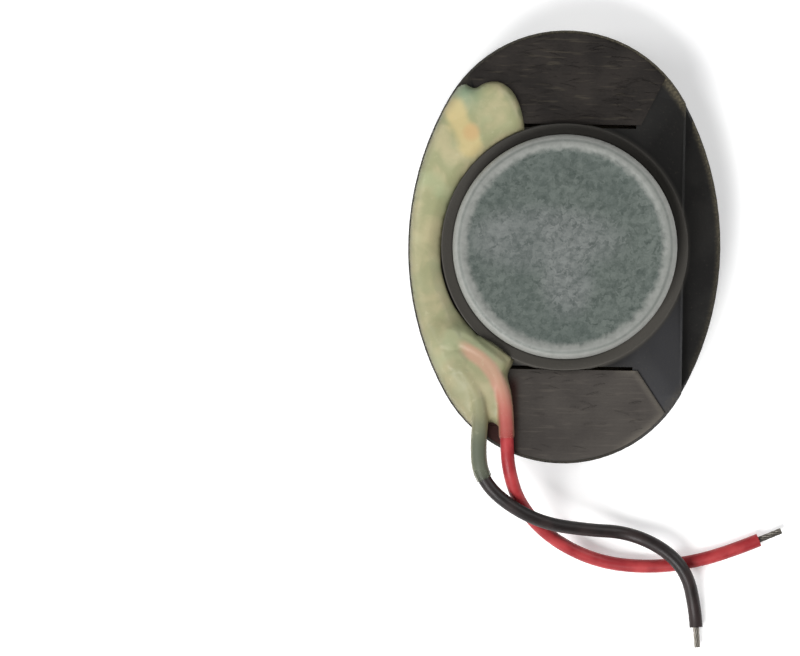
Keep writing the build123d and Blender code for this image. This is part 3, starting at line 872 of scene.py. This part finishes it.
# %% Magnet cup
WALL = 0.5
EDGE = 0.38
DISH = 0.03
CORNER = 0.1
cup_profile = [(0.0, CUP_TOP_Z - DISH), (3.2, CUP_TOP_Z - DISH), (CUP_RADIUS - EDGE - 0.16, CUP_TOP_Z - DISH)]
cup_profile += [(CUP_RADIUS - EDGE - 0.08, CUP_TOP_Z - 0.3 * DISH)]
cup_profile += rounded((CUP_RADIUS - EDGE, CUP_TOP_Z - EDGE), EDGE, 90, 0, 10)
cup_profile += [(CUP_RADIUS, CUP_RIM_Z + 0.04), (CUP_RADIUS - 0.04, CUP_RIM_Z)]
cup_profile += [(CUP_RADIUS - WALL + 0.03, CUP_RIM_Z), (CUP_RADIUS - WALL, CUP_RIM_Z + 0.03)]
cup_profile += rounded((CUP_RADIUS - WALL - CORNER, CUP_TOP_Z - WALL - CORNER), CORNER, 0, 90, 4)
cup_profile += [(0.0, CUP_TOP_Z - WALL)]
place_piece("magnet_cup", lathe(cup_profile, 160), cup_plating, ["yoke_cup"], smooth_angle=40.0)

# %% [markdown]
# ## Front: gasket and dust screen
#
# The speaker rests on its gasket, so this side shows only from below. The gasket is a
# ring of foam with soft, uneven edges, which a sharp extrusion would miss. The felt
# screen lies over the whole cover and is held between it and the gasket.

# %% Front gasket
OPENING = {"half_width": 4.58, "half_length": 6.85, "tip_radius": 3.95}
gasket_loops = [node_oval("front_gasket", 220), oval_loop(**OPENING, count=160)]


def foam_face(flat, _):
    return ripple(flat, 1.7, 0.02, 3.0) + ripple(flat, 0.25, 0.012, 8.0) - 0.03


gasket_mesh = plate(gasket_loops, GASKET_TOP_Z, 0.0, spacing=0.16, round_edge=0.1, shape=foam_face)
gasket_places = np.array([v.co[:2] for v in gasket_mesh.vertices])
inner_cut = np.clip(1 - edge_distance(gasket_places, gasket_loops[1:]) / 0.1, 0, 1)
# The outer edge gets a painted highlight in patches; the opening's cut edge is paler foam.
outer_edge_highlight = np.clip(1 - edge_distance(gasket_places, gasket_loops[:1]) / 0.2, 0, 1)
uneven = 0.3 + ripple(gasket_places, 2.5, 0.5, 9.0)
mark_points(gasket_mesh, "cut_edge_and_highlight", np.clip(inner_cut + outer_edge_highlight * uneven, 0, 1))
gasket = place_piece("foam_gasket", gasket_mesh, gasket_foam, ["front_gasket"])

# %% Dust screen
screen_loop = node_oval("dust_screen", 200)


def felt_face(flat, _):
    return ripple(flat, 0.6, 0.012, 1.0) + ripple(flat, 0.2, 0.01, 5.0) - 0.015


screen_mesh = plate([screen_loop], SCREEN_TOP_Z, GASKET_TOP_Z, spacing=0.14, round_edge=0.02, shape=felt_face)
screen = place_piece("dust_felt", screen_mesh, screen_felt, ["dust_screen"])

# %% [markdown]
# ## Vent cloths
#
# A four-sided patch of cloth covers the vents at each end of the back. Its straight
# edge runs beside the collar, its sides spread, and its far edge follows the rim. The
# cloth dips slightly into the vents under it. It is glued down flat, so it is a plate
# with a little relief, and needs no cloth simulation.

# %% Vent cloth patches
CLOTH_EDGE_Y = 5.1
CLOTH_HALF_WIDTH = 3.1
CLOTH_SLOPE = {1: 0.53, -1: 0.73}


def cloth_loop(end):
    """Outline of the patch at one end, end = 1 or -1, going round anticlockwise."""
    rim = speaker_oval(0.12, 720)
    half_widths = CLOTH_HALF_WIDTH + CLOTH_SLOPE[end] * (rim[:, 1] - CLOTH_EDGE_Y)
    keep = (rim[:, 1] > CLOTH_EDGE_Y) & (abs(rim[:, 0]) < half_widths)
    bulge = math.sqrt(COLLAR_RADIUS**2 - CLOTH_EDGE_Y**2)
    start, end_angle = math.atan2(CLOTH_EDGE_Y, -bulge), math.atan2(CLOTH_EDGE_Y, bulge)
    near = [(-CLOTH_HALF_WIDTH + 0.15 * i, CLOTH_EDGE_Y) for i in range(16)]
    turns = np.linspace(start, end_angle, 9)
    near += [(COLLAR_RADIUS * math.cos(a), COLLAR_RADIUS * math.sin(a)) for a in turns]
    near += [(CLOTH_HALF_WIDTH - 0.15 * i, CLOTH_EDGE_Y) for i in range(15, -1, -1)]
    loop = np.vstack([rim[keep][::3], near])
    return loop if end > 0 else -loop


def cloth_face(flat, gap):
    over_vent = np.clip((np.abs(flat[:, 0]) - 0.25) / 0.4, 0, 1) * np.clip((gap - 0.25) / 0.5, 0, 1)
    over_vent *= np.clip((8.0 - np.abs(flat[:, 1])) / 0.5, 0, 1)
    return ripple(flat, 0.8, 0.015, 2.0) + ripple(flat, 0.15, 0.01, 6.0) - 0.045 * over_vent - 0.015


VENT_CLOTHS = ((1, "vent_screen_top"), (-1, "vent_screen_bottom"))
for end, node in VENT_CLOTHS:
    loops = [cloth_loop(end)]
    cloth_mesh = plate(loops, BACK_Z, VENT_CLOTH_TOP_Z, spacing=0.12, round_edge=0.04, shape=cloth_face)
    places = np.array([v.co[:2] for v in cloth_mesh.vertices])
    at_edge = np.clip(1 - edge_distance(places, loops) / 0.3, 0, 1)
    mark_points(cloth_mesh, "pale_edge", at_edge * np.clip(places[:, 0] - 2.0, 0, 1) * (end < 0))
    place_piece(node.replace("screen", "cloth"), cloth_mesh, vent_cloth, [node])

# %% [markdown]
# ### Loose fibres
#
# Loose fibres lie on both cloths. One bent hair is enough: a node tree scatters points
# over a flat bed, puts the hair on each and turns and scales it by chance, from a fixed
# seed. The hairs stay clear of the cloth's edge, and the worn patch has fewer.

# %% Loose fibres
HAIR_SIZES = {"Hair Length": 0.55, "Hair Radius": 0.007}
HAIRS_PER_SQUARE_MM = {1: 6.0, -1: 1.5}
HAIR_LEVEL = VENT_CLOTH_TOP_Z - 0.012
fibres = Grower("loose_fibres", {**HAIR_SIZES, "Density": 1.0, "Seed": 1.0})
spots = fibres.add(
    "GeometryNodeDistributePointsOnFaces", None,
    {"Mesh": fibres.given(), "Density": fibres.given("Density"), "Seed": fibres.given("Seed")},
)
half_hair = fibres.given("Hair Length") * 0.5
hair_start = fibres.add("ShaderNodeCombineXYZ", None, {0: half_hair * -1.0})
hair_middle = fibres.add("ShaderNodeCombineXYZ", None, {1: half_hair * 0.16, 2: half_hair * 0.06})
hair_end = fibres.add("ShaderNodeCombineXYZ", None, {0: half_hair})
hair = fibres.add(
    "GeometryNodeCurveQuadraticBezier", None,
    {"Resolution": 5, "Start": hair_start, "Middle": hair_middle, "End": hair_end},
)
turn = fibres.add(
    "FunctionNodeRandomValue", {"data_type": "FLOAT_VECTOR"},
    {0: (-0.1, -0.03, -0.35), 1: (0.1, 0.03, 0.35), "Seed": 4},
)
size = fibres.add("FunctionNodeRandomValue", {"data_type": "FLOAT"}, {2: 0.5, 3: 1.3, "Seed": 7}, 1)
hair_tube = fibres.tube(hair, fibres.given("Hair Radius"), 4)
hairs = fibres.add(
    "GeometryNodeInstanceOnPoints", None,
    {"Points": spots, "Instance": hair_tube, "Rotation": turn, "Scale": size},
)
fibres.end(hairs, vent_cloth)

for end, node in VENT_CLOTHS:
    outline = cloth_loop(end)
    middle = outline.mean(0)
    inner = middle + (outline - middle) * 0.94
    bed = mesh_of([(x, y, HAIR_LEVEL) for x, y in inner], [tuple(range(len(inner)))])
    hair_mesh = fibres.grow(bed, {**HAIR_SIZES, "Density": HAIRS_PER_SQUARE_MM[end], "Seed": 3 + end})
    place_piece(node.replace("screen", "fibres"), hair_mesh, vent_cloth, [])

# %% [markdown]
# ## Motor and film
#
# The voice coil is wire wound in three layers and stuck to the film. A striped texture
# on a pipe would do from afar, but a node tree winds it as easily: three spirals, one
# inside the other, every second one wound the other way.

# %% Voice coil
coil_low, coil_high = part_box("voice_coil")
COIL_WIRE = 0.03
coil_outer = coil_high.x / MM
coil_height = (coil_high.z - coil_low.z) / MM
coil_turns = int((coil_height - 2 * COIL_WIRE) / (2.05 * COIL_WIRE))
COIL_LAYERS = 3
coil_sizes = {
    "Radius": coil_outer - COIL_WIRE, "Height": coil_height - 2 * COIL_WIRE, "Turns": coil_turns,
    "Wire Radius": COIL_WIRE, "Bottom": coil_low.z / MM + COIL_WIRE,
}
winding = Grower("coil_winding", coil_sizes)
layers = winding.add("GeometryNodeJoinGeometry")
join_node = layers.socket.node
for layer in range(COIL_LAYERS):
    layer_radius = winding.given("Radius") - winding.given("Wire Radius") * (2.0 * layer)
    spiral = winding.add(
        "GeometryNodeCurveSpiral", None,
        {"Resolution": 48, "Rotations": winding.given("Turns"), "Start Radius": layer_radius,
         "End Radius": layer_radius, "Height": winding.given("Height"), "Reverse": layer % 2 == 1},
    )
    winding.tree.links.new(spiral.socket, join_node.inputs[0])
lift = winding.add("ShaderNodeCombineXYZ", None, {2: winding.given("Bottom")})
raised = winding.add("GeometryNodeTransform", None, {"Geometry": layers, "Translation": lift})
winding.end(winding.tube(raised, winding.given("Wire Radius"), 6), coil_copper)
coil_mesh = winding.grow(mesh_of([(0, 0, 0)], []), coil_sizes)
place_piece("coil_winding", coil_mesh, coil_copper, ["voice_coil"], "moving_coil")
print("turns in each layer", coil_turns)

# %% [markdown]
# ### Film
#
# The film is one thin pressed sheet: a clamped rim, a half-round roll that lets it
# travel, and a shallow dome. It is built as rings of points that step from the oval of
# the rim to the circle of the dome. A straight ramp from rim to middle would bend the
# dome too, so the share of the travel is worked out by the place across the roll; it is
# not put on the film here.

# %% Rings of the film
ROLL_OUTER, ROLL_WIDTH, ROLL_DEPTH = 1.05, 1.0, 0.28
ROLL_STEPS = 12
DOME_RADIUS, DOME_DEPTH = 3.78, 0.24
FILM = 0.03
FILM_FACE_Z = FILM_TOP_Z - 0.015
COUNT = 144


def travel_share(places):
    """How much of the coil's travel the film makes at each place: 0 at the rim, 1 inside the roll."""
    inset = edge_distance(places, [speaker_oval(0.0, 720)])
    share = np.clip((inset - ROLL_OUTER) / ROLL_WIDTH, 0, 1)
    return share * share * (3 - 2 * share)


def film_rows():
    """Loops of the film from its rim to its middle, each with a height."""
    rows = [(speaker_oval(FILM_EDGE_INSET, COUNT), 0.0)]
    for step in range(ROLL_STEPS + 1):
        share = step / ROLL_STEPS
        loop = speaker_oval(ROLL_OUTER + ROLL_WIDTH * share, COUNT)
        rows.append((loop, -ROLL_DEPTH * math.sin(math.pi * share)))
    inner = speaker_oval(ROLL_OUTER + ROLL_WIDTH, COUNT)
    angles = np.arctan2(inner[:, 1], inner[:, 0])
    circle = np.column_stack([np.cos(angles), np.sin(angles)])
    for share in (0.35, 0.7, 1.0):
        rows.append((inner + (circle * DOME_RADIUS - inner) * share, 0.0))
    for share in (0.9, 0.75, 0.55, 0.35, 0.15):
        rows.append((circle * DOME_RADIUS * share, -DOME_DEPTH * (1 - share * share)))
    return rows


# %% Film
film_vertices, film_faces = [], []
rows = film_rows()
for side in (0, 1):
    level = FILM_FACE_Z - FILM * side
    for loop, height in rows:
        film_vertices += [(x, y, level + height) for x, y in loop]
    film_vertices.append((0.0, 0.0, level - DOME_DEPTH))
half = len(film_vertices) // 2
for side in (0, 1):
    base = side * half
    patch = []
    for row in range(len(rows) - 1):
        for i in range(COUNT):
            j = (i + 1) % COUNT
            a, b = base + row * COUNT, base + (row + 1) * COUNT
            patch.append((a + i, a + j, b + j, b + i))
    last = base + (len(rows) - 1) * COUNT
    patch += [(last + i, last + (i + 1) % COUNT, base + half - 1) for i in range(COUNT)]
    film_faces += patch if side == 0 else [f[::-1] for f in patch]
film_faces += [(i, i + half, (i + 1) % COUNT + half, (i + 1) % COUNT) for i in range(COUNT)]
film = place_piece("pressed_film", mesh_of(film_vertices, film_faces), film_finish, ["diaphragm"], body="")
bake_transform(film)
travel_share(np.array(film_vertices)[:, :2])

# %% [markdown]
# ## Coil wires, board and joints
#
# Each end of the coil's wire leaves the coil beside the film, comes up through the
# slot in the moulding and is soldered to its pad. It has to move with the film that it
# lies on, or one would cut through the other, so both shares of the travel come from the
# same function, and the wire's share fades as it climbs the slot; neither share is put
# on a piece here. Solder wets the pad in a hollow skirt and climbs the wire. A ball
# would look like a blob set down on the pad, so the joint is turned from a profile with
# that hollow in it.

# %% Coil wires
COIL_WIRE_Z = FILM_TOP_Z + 0.06
OVER_SLOT_Z = BACK_Z + 0.3
PAD_Z = BACK_Z + 0.14
SIDE_WIRE_ROUTE = [
    (-2.4, 3.24, COIL_WIRE_Z), (-3.05, 4.25, COIL_WIRE_Z), (-3.4, 4.92, COIL_WIRE_Z),
    (-3.4, 4.92, OVER_SLOT_Z), (-3.85, 4.45, OVER_SLOT_Z), (-4.68, 3.93, PAD_Z),
]
END_WIRE_ROUTE = [
    (-2.0, 3.5, COIL_WIRE_Z), (-2.75, 4.65, COIL_WIRE_Z), (-3.68, 5.38, COIL_WIRE_Z),
    (-3.68, 5.38, OVER_SLOT_Z), (-4.05, 5.22, OVER_SLOT_Z), (-4.42, 4.86, PAD_Z),
]
CLIMB = 0.9
ENAMEL_RADIUS = 0.045
for name, route in (("coil_wire_red", SIDE_WIRE_ROUTE), ("coil_wire_black", END_WIRE_ROUTE)):
    wire_mesh = tube_mesh(route, ENAMEL_RADIUS)
    places = np.array([v.co for v in wire_mesh.vertices])
    climb = np.clip((places[:, 2] - COIL_WIRE_Z) / CLIMB, 0, 1)
    wire = place_piece(name + "_enamel", wire_mesh, coil_copper, [name], body="")
    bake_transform(wire)
    travel_share(places[:, :2]) * (1 - climb)

# %% Solder joints
JOINTS = ("lead_joint_red", "lead_joint_black", "coil_joint_red", "coil_joint_black")
for node in JOINTS:
    low, high = (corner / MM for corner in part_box(node))
    middle = ((low.x + high.x) / 2, (low.y + high.y) / 2)
    base, top = low.z, high.z
    tall = top - base
    skirt = [(0.0, base), (0.38, base), (0.37, base + 0.03)]
    skirt += [(0.36 - 0.16 * (i / 6) ** 0.6, base + 0.03 + tall * 0.6 * i / 6) for i in range(1, 7)]
    skirt += [(0.17, base + 0.78 * tall), (0.12, base + 0.92 * tall), (0.05, top), (0.0, top)]
    place_piece(node + "_solder", lathe(skirt, 32, middle), solder, [node])

# %% [markdown]
# ## Leads
#
# Each lead is seven fine strands in a soft sleeve. They could be seven curves drawn by
# hand, but twisted strands follow a rule: the node tree takes the lead's line, copies it
# seven times, and moves six of the copies round the first by an angle that grows along
# the line. The sleeve is the same line with a thickness, cut back at both ends. Both
# leads are shorter than 30 mm, too short to be declared as free cords, so they simply
# ride on the speaker.

# %% Lead routes
RED_ROUTE = [
    (-4.95, -3.8, 3.22), (-3.8, -4.15, 3.22), (-2.84, -5.0, 3.22), (-2.36, -6.4, 3.22), (-2.29, -7.95, 3.22),
    (-2.2, -9.3, 3.1), (-1.68, -10.79, 2.1), (-0.33, -12.19, 1.0), (1.6, -13.11, 0.38), (3.76, -13.33, 0.3),
    (5.84, -13.02, 0.3), (7.58, -12.42, 0.3), (9.27, -11.7, 0.3),
]
BLACK_ROUTE = [
    (-4.58, -4.66, 3.22), (-3.65, -5.8, 3.22), (-3.36, -6.95, 3.22), (-3.47, -8.24, 3.2), (-3.38, -9.5, 3.1),
    (-2.5, -10.55, 2.95), (-0.8, -11.49, 2.3), (1.12, -11.77, 1.2), (2.83, -11.85, 0.5), (4.37, -12.49, 0.98),
    (5.36, -13.5, 0.98), (5.73, -15.05, 0.3), (5.85, -16.62, 0.3),
]
BARE_START = 0.62
BARE_END = {"red": 1.0, "black": 0.84}

# %% Twisted strands
STRANDS = 7
strand_sizes = {"Strand Radius": STRAND_BUNDLE_RADIUS / 3, "Lay": 1.7}
twist = Grower("twisted_strands", strand_sizes)
line = twist.add("GeometryNodeMeshToCurve", None, {0: twist.given()})
even = twist.add("GeometryNodeResampleCurve", {"mode": "LENGTH"}, {"Curve": line, "Length": 0.12})
copies = twist.add("GeometryNodeDuplicateElements", {"domain": "SPLINE"}, {0: even, "Amount": STRANDS})
copy_number = Wire(twist, copies.socket.node.outputs["Duplicate Index"])
along = twist.add("GeometryNodeSplineParameter", output="Length")
angle = copy_number * (2 * math.pi / (STRANDS - 1)) + along * (2 * math.pi) / twist.given("Lay")
outward = twist.given("Strand Radius") * 2.0 * copy_number.math("GREATER_THAN", 0.5)
normal = twist.add("GeometryNodeInputNormal")
tangent = twist.add("GeometryNodeInputTangent")
across = twist.vector("CROSS_PRODUCT", tangent, normal)
parts = []
for direction, wave in ((normal, "COSINE"), (across, "SINE")):
    scaled = {0: direction, "Scale": angle.math(wave) * outward}
    parts.append(twist.add("ShaderNodeVectorMath", {"operation": "SCALE"}, scaled))
offset = twist.vector("ADD", *parts)
moved = twist.add("GeometryNodeSetPosition", None, {"Geometry": copies, "Offset": offset})
twist.end(twist.tube(moved, twist.given("Strand Radius"), 8), tinned)

# %% Both leads
for colour, route, pvc in (("red", RED_ROUTE, red_pvc), ("black", BLACK_ROUTE, black_pvc)):
    points = centreline(route)
    length = sum((b - a).length for a, b in zip(points, points[1:]))
    guide = bpy.data.meshes.new("guide")
    guide.from_pydata(points, [(i, i + 1) for i in range(len(points) - 1)], [])
    strand_mesh = twist.grow(guide, strand_sizes)
    place_piece(colour + "_lead_strands", strand_mesh, tinned, [colour + "_strands"])
    sleeve = tube_mesh(trimmed(route, BARE_START, BARE_END[colour]), LEAD_RADIUS)
    place_piece(colour + "_lead_sleeve", sleeve, pvc, [colour + "_insulation"], smooth_angle=50.0)
    print(colour, "lead length", round(length, 2), "mm")

# %% [markdown]
# ## Glue
#
# The glue was poured over the board and ran a little way down the leads. Liquid
# rounds every edge and drapes over what it covers, and no outline can say that. A
# fluid simulation could, but it is slow and hard to steer. So a plate of its outline,
# a lap over the collar's edge, sleeves round the leads and a cone over each joint are
# melted into one skin by a voxel remesh, then relaxed by a smoothing pass.

# %% Lines on the glue
STEPS = 8


def flowing(points):
    """A smooth line through points, by Catmull-Rom pieces."""
    points = np.array(points, float)
    padded = np.vstack([2 * points[0] - points[1], points, 2 * points[-1] - points[-2]])
    line = []
    for i in range(len(points) - 1):
        a, b, c, d = padded[i:i + 4]
        for t in np.linspace(0, 1, STEPS, endpoint=False):
            square, cube = (2 * a - 5 * b + 4 * c - d) * t * t, (3 * b - a - 3 * c + d) * t**3
            line.append(0.5 * (2 * b + (c - a) * t + square + cube))
    return line + [points[-1]]


def line_distance(points, line):
    """Distance to an open line, which is walked there and back as a loop."""
    return edge_distance(points, [np.vstack([line, line[::-1]])])


def nearness(points, line, full, none):
    """1 within one distance of a line seen from above, 0 beyond another."""
    share = np.clip((none - line_distance(points[:, :2], line[:, :2])) / (none - full), 0, 1)
    return share * share * (3 - 2 * share)


def arc_points(radii, turns):
    """Points at radii from the speaker's axis and at turns in degrees."""
    return np.column_stack([radii * np.cos(np.radians(turns)), radii * np.sin(np.radians(turns))])


# %% [markdown]
# ### Outline of the glue
#
# The outline has a free edge and an edge that wets the collar, and they are kept apart,
# because the glue is round at the one and only a little lower at the other. Two smooth
# lines through a few points give the ends of the free edge, one at the top and one
# between the leads, and the rim of the moulding joins them.

# %% Outline of the glue
WETTED_RADIUS = COLLAR_RADIUS - 0.08
TOP_EDGE = [
    (-1.72, 4.9), (-1.85, 5.6), (-2.15, 6.3), (-2.52, 6.68), (-2.95, 6.84),
    (-3.45, 6.77), (-3.82, 6.56), (-4.02, 6.62), (-4.22, 6.74),
]
LEAD_EDGE = [
    (-3.9, -7.95), (-3.45, -7.75), (-2.95, -7.35), (-2.55, -7.6), (-2.2, -7.9),
    (-2.02, -7.0), (-2.1, -6.1), (-2.26, -5.4), (-2.04, -4.85),
]
rim = speaker_oval(0.04, 720)
rim = rim[(rim[:, 0] < 0) & (rim[:, 1] < 6.65) & (rim[:, 1] > -8.0)]
free_edge = np.array(flowing(TOP_EDGE) + [tuple(p) for p in rim[::4]] + flowing(LEAD_EDGE))
turns = np.linspace(247, 109.5, 90)
collar_edge = arc_points(WETTED_RADIUS + 0.13 * np.clip(1.6 - abs(turns - 200) / 16, 0, 1), turns)
print("glue outline", len(free_edge), "free points and", len(collar_edge), "on the collar")

# %% Pad of glue
SWELL_HEIGHT, SWELL_WIDTH = 0.46, 0.55
POOL_HEIGHT = 0.24


def glue_face(flat, gap):
    """Round at the free edge, a little lower at the collar, and pooled over the leads."""
    swell = SWELL_HEIGHT * np.sqrt(1 - (1 - np.clip(line_distance(flat, free_edge) / SWELL_WIDTH, 0, 1)) ** 2)
    from_collar = np.hypot(flat[:, 0], flat[:, 1]) - WETTED_RADIUS
    lapped = 0.4 + 0.5 * np.clip(-3.0 - flat[:, 1], 0, 1)
    swell *= (lapped + (1 - lapped) * np.clip(from_collar / 0.6, 0, 1)) * np.clip(from_collar / 0.1, 0, 1)
    pool = sum(nearness(flat, np.array(route[:5]), 0.25, 0.9) for route in (RED_ROUTE, BLACK_ROUTE))
    pool = POOL_HEIGHT * np.clip(pool, 0, 1) * np.clip(gap / 0.3, 0, 1)
    pool *= np.clip((flat[:, 1] + 7.2) / 1.5, 0, 1)
    return swell + pool + ripple(flat, 1.5, 0.07, 4.0) * np.clip(gap / 0.4, 0, 1)


pad_loops = [np.vstack([free_edge, collar_edge])]
glue_parts = [plate(pad_loops, BACK_Z + 0.005, BACK_Z + 0.05, spacing=0.14, round_edge=0.0, shape=glue_face)]
print("glue pad", len(glue_parts[0].polygons), "faces")

# %% Lap over the collar's edge
LAP_START, LAP_TURN = 227, 18.5
LAP_OUTER_RADIUS = 5.4
share = np.linspace(0, 1, 12)
lap_outer = arc_points(LAP_OUTER_RADIUS, LAP_START + LAP_TURN * share)
lap_inner = arc_points(WETTED_RADIUS + 0.04 - 0.16 * np.sin(math.pi * share), LAP_START + LAP_TURN * share)


def lap_face(flat, _):
    """The lap rises away from the collar, less so at its end."""
    away = np.clip(np.hypot(flat[:, 0], flat[:, 1]) - 5.0, 0, 0.4)
    return 0.5 * away * np.clip((flat[:, 1] + 4.85) / 0.35, 0, 1)


lap_loops = [np.vstack([lap_outer, lap_inner[::-1]])]
lap_low, lap_high = COLLAR_TOP_Z - 0.08, COLLAR_TOP_Z + 0.1
glue_parts.append(plate(lap_loops, lap_low, lap_high, spacing=0.1, round_edge=0.06, shape=lap_face))
print("lap", len(glue_parts[-1].polygons), "faces")

# %% Coats on the leads and mounds over the joints
COATS = {"red": (RED_ROUTE, -8.05, 0.05), "black": (BLACK_ROUTE, -9.75, 0.06)}
for colour, (route, coat_end, thickness) in COATS.items():
    covered = [p for p in centreline(trimmed(route, 0.4, 0.0)) if p.y > coat_end]
    glue_parts.append(tube_mesh([covered[0], *covered[2:-1:3], covered[-1]], LEAD_RADIUS + thickness))
    print(colour, "lead is coated down to", coat_end, "mm")
for node in JOINTS:
    low, high = (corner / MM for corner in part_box(node))
    middle = ((low.x + high.x) / 2, (low.y + high.y) / 2)
    mound = [(0.0, BACK_Z), (0.95, BACK_Z), (0.62, high.z - 0.08), (0.4, high.z + 0.1), (0.0, high.z + 0.15)]
    glue_parts.append(lathe(mound, 24, middle))

# %% Melt the parts into one skin
VOXEL = 0.055
melt = bmesh.new()
for part in glue_parts:
    melt.from_mesh(part)
mixed = bpy.data.meshes.new("glue_mix")
melt.to_mesh(mixed)
melt.free()
holder = bpy.data.objects.new("glue_mix", mixed)
remesh = holder.modifiers.new("melt", "REMESH")
remesh.mode = "VOXEL"
remesh.voxel_size = VOXEL
relax = holder.modifiers.new("relax", "SMOOTH")
relax.factor = 0.5
relax.iterations = 7
glue_mesh = baked_mesh(holder)
print("glue skin", len(glue_mesh.vertices), "points")

# %% [markdown]
# ### What the glue covers
#
# The finish needs to know at every point how much glue lies under it and which colour
# is near. A ray cast down from each point would find out, but the routes already say
# where the leads run: over the board the depth is the height above the back, and near
# a lead it is the distance to its sleeve, with a little added where the glue is cloudy.

# %% What the glue covers
skin = np.array([v.co for v in glue_mesh.vertices])
depth_of_glue = np.clip(skin[:, 2] - BACK_Z, 0, None)
seen_red = np.clip((skin[:, 0] + 4.6) / 0.7, 0, 1)
seen_black = np.clip(-5.4 - skin[:, 1], 0, 1) * (0.35 + 0.65 * np.clip(-7.0 - skin[:, 1], 0, 1))
for colour, seen in (("red", seen_red), ("black", seen_black)):
    route, coat_end, _ = COATS[colour]
    line = np.array(centreline(route))
    line = line[line[:, 1] > -10.2]
    over = nearness(skin, line, LEAD_RADIUS - 0.02, LEAD_RADIUS + 0.14)
    cloudy = 0.12 * np.clip((skin[:, 1] - coat_end) / 0.5, 0, 1)
    cloudy += 0.3 * np.clip((skin[:, 1] + 7.4) / 1.6, 0, 1)
    cover = np.clip(line_distance(skin, line) - LEAD_RADIUS, 0.01, None) + cloudy
    depth_of_glue = depth_of_glue * (1 - over) + cover * over
    line[:, 1] -= 0.22 * np.clip((line[:, 1] + 6.4) / 1.6, 0, 1)
    mark_points(glue_mesh, "over_" + colour, nearness(skin, line, 0.1, 0.55) * seen)
on_collar = np.hypot(skin[:, 0], skin[:, 1]) < WETTED_RADIUS + 0.02
depth_of_glue[on_collar] = np.clip(skin[on_collar, 2] - COLLAR_TOP_Z + 0.02, 0, None)
depth_of_glue[skin[:, 2] < BACK_Z + 0.03] = 0.0
mark_points(glue_mesh, "depth", depth_of_glue)
copper_line = np.array([(-4.72, 5.6), (-4.45, 5.1), (-4.12, 4.6), (-3.98, 4.2)])
mark_points(glue_mesh, "over_copper", nearness(skin, copper_line, 0.1, 0.85))
place_piece("poured_glue", glue_mesh, glue, ["glue_bead"], smooth_angle=180.0)
print("deepest glue", round(float(depth_of_glue.max()), 2), "mm")

# %% [markdown]
# ## Kept construction nodes
#
# The magnet, the pole plate, the clamping ring, the perforated cover, the terminal
# board and its copper are right as they are, and only need their finishes.

# %% Finishes for the kept nodes
for node, finish in (
    ("magnet", magnet_plating), ("pole_plate", pole_plating), ("diaphragm_ring", ring_plastic),
    ("front_cover", cover_steel), ("terminal_board", board_laminate), ("red_trace", board_copper),
    ("black_trace", board_copper),
):
    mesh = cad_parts[node].data
    mesh.materials.clear()
    mesh.materials.append(finish.material)
    print(node, "keeps its mesh and gets", finish.name)

# %% [markdown]
# ## Table
#
# The table is a plain pale sheet under the speaker, lit faintly from within like a
# light box, so that shadows on it stay pale. It isn't part of the object.

# %% Table
table_finish = Finish("table", {"IOR": 1.4, "Emission Color": (1.0, 1.0, 1.0, 1.0), "Emission Strength": 0.3})
table_grain = table_finish.grain(6.0, detail=3.0)
table_tone = table_finish.blend(table_grain.between(0.3, 0.7), paint(240, 240, 240), paint(246, 246, 245))
table_finish.drive("Base Color", table_tone)
table_finish.drive("Roughness", 0.7 + table_grain * 0.1)
TABLE = 900.0
TABLE_Z = -0.01
table_corners = [(x * TABLE, y * TABLE, TABLE_Z) for x, y in ((-1, -1), (1, -1), (1, 1), (-1, 1))]
table_mesh = mesh_of(table_corners, [(0, 1, 2, 3)])
table_mesh.transform(Matrix.Scale(MM, 4))
table_mesh.materials.append(table_finish.material)
table = bpy.data.objects.new("table", table_mesh)
bpy.context.scene.collection.objects.link(table)
print("table", 2 * TABLE, "mm wide")
